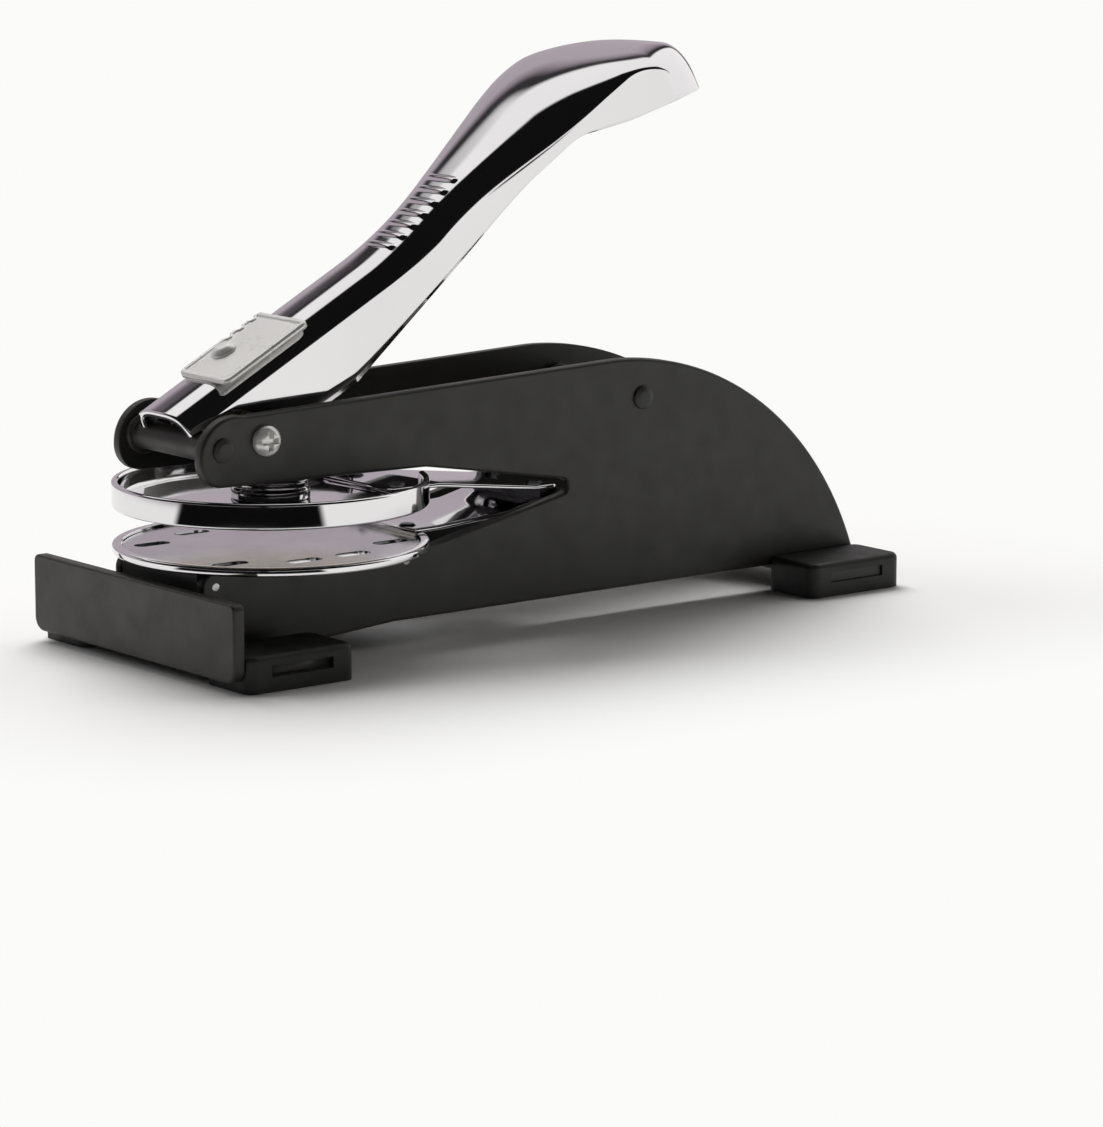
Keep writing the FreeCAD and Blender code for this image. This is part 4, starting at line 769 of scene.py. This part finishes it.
spring = tube("return_spring_wire", spring_path(), 0.4, None, "steel")
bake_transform(spring)
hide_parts("return_spring")

# %% [markdown]
# ## Floor, light and camera
#
# The object stands on a plain pale floor, which is shown plain white except close to the
# object, where it keeps its shadow. Chrome shows mostly what is round it, so the
# surroundings are built as a studio would set them up: white paper straight behind and
# overhead, a mauve-grey wall to the left with a dark edge round it, and a dark room on the
# viewer's side. That dark room draws the long black streak on the lever's shoulder, and the
# wall gives the crown its grey. The floor also carries two painted reflections that only the
# chrome sees: a painted mauve reflection towards the wall, and a painted dark reflection on
# the table in front. The lamps are set so that the chrome does not see them.

# %% Nodes for places and directions
def math_node(kind, a, b=None, c=None):
    """One arithmetic node; a, b and c are sockets or numbers."""
    made = nodes.new("ShaderNodeMath")
    made.operation = kind
    for socket, value in zip(made.inputs, (a, b, c)):
        if value is None:
            continue
        if isinstance(value, (int, float)):
            socket.default_value = value
        else:
            links.new(value, socket)
    return made.outputs[0]


def vector_node(kind, a, b=None, output="Value"):
    """One vector operation; a is a socket and b a fixed vector."""
    made = nodes.new("ShaderNodeVectorMath")
    made.operation = kind
    links.new(a, made.inputs[0])
    if b is not None:
        made.inputs[1].default_value = b
    return made.outputs[output]


def fade(value, low, high):
    """0 below low, 1 above high, smooth between; it falls instead where low is the larger."""
    made = nodes.new("ShaderNodeMapRange")
    made.interpolation_type = "SMOOTHSTEP"
    made.inputs["From Min"].default_value = min(low, high)
    made.inputs["From Max"].default_value = max(low, high)
    made.inputs["To Min"].default_value = float(low > high)
    made.inputs["To Max"].default_value = float(low < high)
    links.new(value, made.inputs["Value"])
    return made.outputs["Result"]


def blend_colour(factor, a, b):
    """Colour a where the factor is 0, colour b where it is 1."""
    made = nodes.new("ShaderNodeMix")
    made.data_type = "RGBA"
    links.new(factor, made.inputs["Factor"])
    for socket, value in ((made.inputs[6], a), (made.inputs[7], b)):
        if isinstance(value, tuple):
            socket.default_value = (*value, 1)
        else:
            links.new(value, socket)
    return made.outputs[2]


# %% Floor
WHITE = (0.965, 0.965, 0.95)
MAUVE = (0.46, 0.41, 0.45)
TO_WALL = (-0.719, -0.695, 0)
TO_DARK_REFLECTION = (0.639, -0.770, 0)
TO_ROOM = (0.74, -0.673, 0)
FOOTPRINT = (0.031, 0.075, 0)
SHADOW_REACH = 0.075
floor_mesh = bpy.data.meshes.new("floor")
floor_mesh.from_pydata([(-8, -8, 0), (8, -8, 0), (8, 8, 0), (-8, 8, 0)], [], [(0, 1, 2, 3)])
floor = bpy.data.objects.new("floor", floor_mesh)
bpy.context.scene.collection.objects.link(floor)
made, nodes, links, shader = material("pale paper floor")
tone = noise(nodes, links, 3, 2)
paper_white = ramp(nodes, links, tone, [(0.3, (0.86, 0.855, 0.84)), (0.7, (0.88, 0.875, 0.865))])
links.new(paper_white, shader.inputs["Base Color"])
shader.inputs["Roughness"].default_value = 0.9
shader.inputs["Specular IOR Level"].default_value = 0.1
ray = nodes.new("ShaderNodeLightPath")
here = nodes.new("ShaderNodeTexCoord").outputs["Object"]
outside = vector_node("SUBTRACT", vector_node("ABSOLUTE", here, None, "Vector"), FOOTPRINT, "Vector")
outside = vector_node("MAXIMUM", outside, (0, 0, 0), "Vector")
far = fade(vector_node("LENGTH", outside), 0.0, SHADOW_REACH)


def sector(place, radius, towards, low, high):
    """The mask of a painted reflection in the floor: 1 beyond a fading radius and inside a sector round one
    direction, for chrome alone.
    """
    unit = vector_node("NORMALIZE", place, None, "Vector")
    round_there = fade(vector_node("DOT_PRODUCT", unit, towards), low, high)
    both = math_node("MULTIPLY", fade(vector_node("LENGTH", place), *radius), round_there)
    return math_node("MULTIPLY", both, ray.outputs["Is Glossy Ray"])


# Painted reflection: towards the mauve wall the far floor glows mauve, but only in the chrome's
# reflections.
painted_wall_reflection = sector(here, (0.22, 0.45), TO_WALL, -0.04, 0.04)
# Painted dark reflection: the floor in front is black, but only in the chrome's reflections; the camera
# sees plain floor there.
from_disc = vector_node("SUBTRACT", here, (0, PLUNGER_Y * MM, 0), "Vector")
painted_dark_reflection = sector(from_disc, (0.095, 0.115), TO_DARK_REFLECTION, 0.60, 0.68)
seen = math_node("MAXIMUM", ray.outputs["Is Camera Ray"], ray.outputs["Is Glossy Ray"])
glow = nodes.new("ShaderNodeEmission")
paper_or_painted_mauve = blend_colour(painted_wall_reflection, WHITE, MAUVE)
links.new(blend_colour(painted_dark_reflection, paper_or_painted_mauve, (0.004, 0.004, 0.004)), glow.inputs["Color"])
paper = nodes.new("ShaderNodeMixShader")
links.new(math_node("MAXIMUM", math_node("MULTIPLY", far, seen), painted_dark_reflection), paper.inputs["Fac"])
links.new(shader.outputs["BSDF"], paper.inputs[1])
links.new(glow.outputs["Emission"], paper.inputs[2])
links.new(paper.outputs["Shader"], nodes["Material Output"].inputs["Surface"])
floor.data.materials.append(made)

# %% Surroundings
world = bpy.data.worlds.new("studio")
bpy.context.scene.world = world
world.use_nodes = True
nodes, links = world.node_tree.nodes, world.node_tree.links
background = nodes["Background"]
direction = nodes.new("ShaderNodeTexCoord").outputs["Generated"]
height_of = nodes.new("ShaderNodeSeparateXYZ")
links.new(direction, height_of.inputs[0])
height = height_of.outputs["Z"]
below_top = math_node("SUBTRACT", 0.545, height)
past_side = math_node("SUBTRACT", vector_node("DOT_PRODUCT", direction, TO_WALL), 0.03)
past_side = math_node("MULTIPLY_ADD", fade(height, 0.22, 0.05), 0.12, past_side)
wall = math_node("MINIMUM", below_top, past_side)
sky = ramp(nodes, links, math_node("MULTIPLY_ADD", wall, 2.0, 0.5), [
    (0.0, (1.0, 0.99, 0.98)), (0.35, (1.0, 0.99, 0.98)), (0.41, (0.03, 0.03, 0.03)),
    (0.48, (0.04, 0.035, 0.04)), (0.58, (0.30, 0.26, 0.29)), (0.70, MAUVE),
])
facing_room = fade(vector_node("DOT_PRODUCT", direction, TO_ROOM), -0.27, -0.17)
dark_room = math_node("MULTIPLY", facing_room, fade(height, 0.05, 0.09))
sky = blend_colour(dark_room, sky, (0.006, 0.006, 0.006))
ray = nodes.new("ShaderNodeLightPath")
sky = blend_colour(ray.outputs["Is Camera Ray"], sky, (1.0, 1.0, 0.99))
links.new(sky, background.inputs["Color"])
background.inputs["Strength"].default_value = 1.0

# %% Lamps
def lamp(name, place, target, size, power):
    """A soft square lamp that points at a target and is not mirrored in chrome."""
    light = bpy.data.lights.new(name, "AREA")
    light.size = size
    light.energy = power
    made = bpy.data.objects.new(name, light)
    made.location = place
    made.rotation_euler = (Vector(target) - Vector(place)).to_track_quat("-Z", "Y").to_euler()
    made.visible_glossy = False
    bpy.context.scene.collection.objects.link(made)


lamp("overhead softbox", (-0.75, 0.30, 0.95), (0, 0, 0.03), 0.9, 16.0)
lamp("front left softbox", (-0.9, -0.7, 0.6), (0, 0, 0.04), 0.6, 3.0)

# %% Camera
def camera():
    """A long lens, 51.7 degrees round from the front and 10.6 degrees up. The aim point sits
    off the picture's middle, so the camera is moved sideways and down by that many pixels."""
    azimuth, elevation, distance = math.radians(51.72), math.radians(10.55), 0.84081
    width_px, height_px, focal_px, sensor = 1103, 1127, 4818.28, 36.0
    aim_right_px, aim_down_px = 464.51, 392.01
    level = math.cos(elevation)
    back = Vector((math.sin(azimuth) * level, -math.cos(azimuth) * level, math.sin(elevation)))
    forward = -back
    right = forward.cross(Vector((0, 0, 1))).normalized()
    up = right.cross(forward)
    aim = Vector((0, (FRONT + 70.0) * MM, 0.040))
    across = (aim_right_px - width_px / 2) / focal_px
    down = -(aim_down_px - height_px / 2) / focal_px
    data = bpy.data.cameras.new("camera")
    data.sensor_width = sensor
    data.lens = focal_px * sensor / height_px
    data.clip_start = 0.01
    made = bpy.data.objects.new("camera", data)
    made.location = aim - distance * (forward + across * right + down * up)
    made.rotation_euler = forward.to_track_quat("-Z", "Y").to_euler()
    bpy.context.scene.collection.objects.link(made)
    return made


bpy.context.scene.camera = camera()
bpy.context.scene.view_settings.view_transform = "Standard"
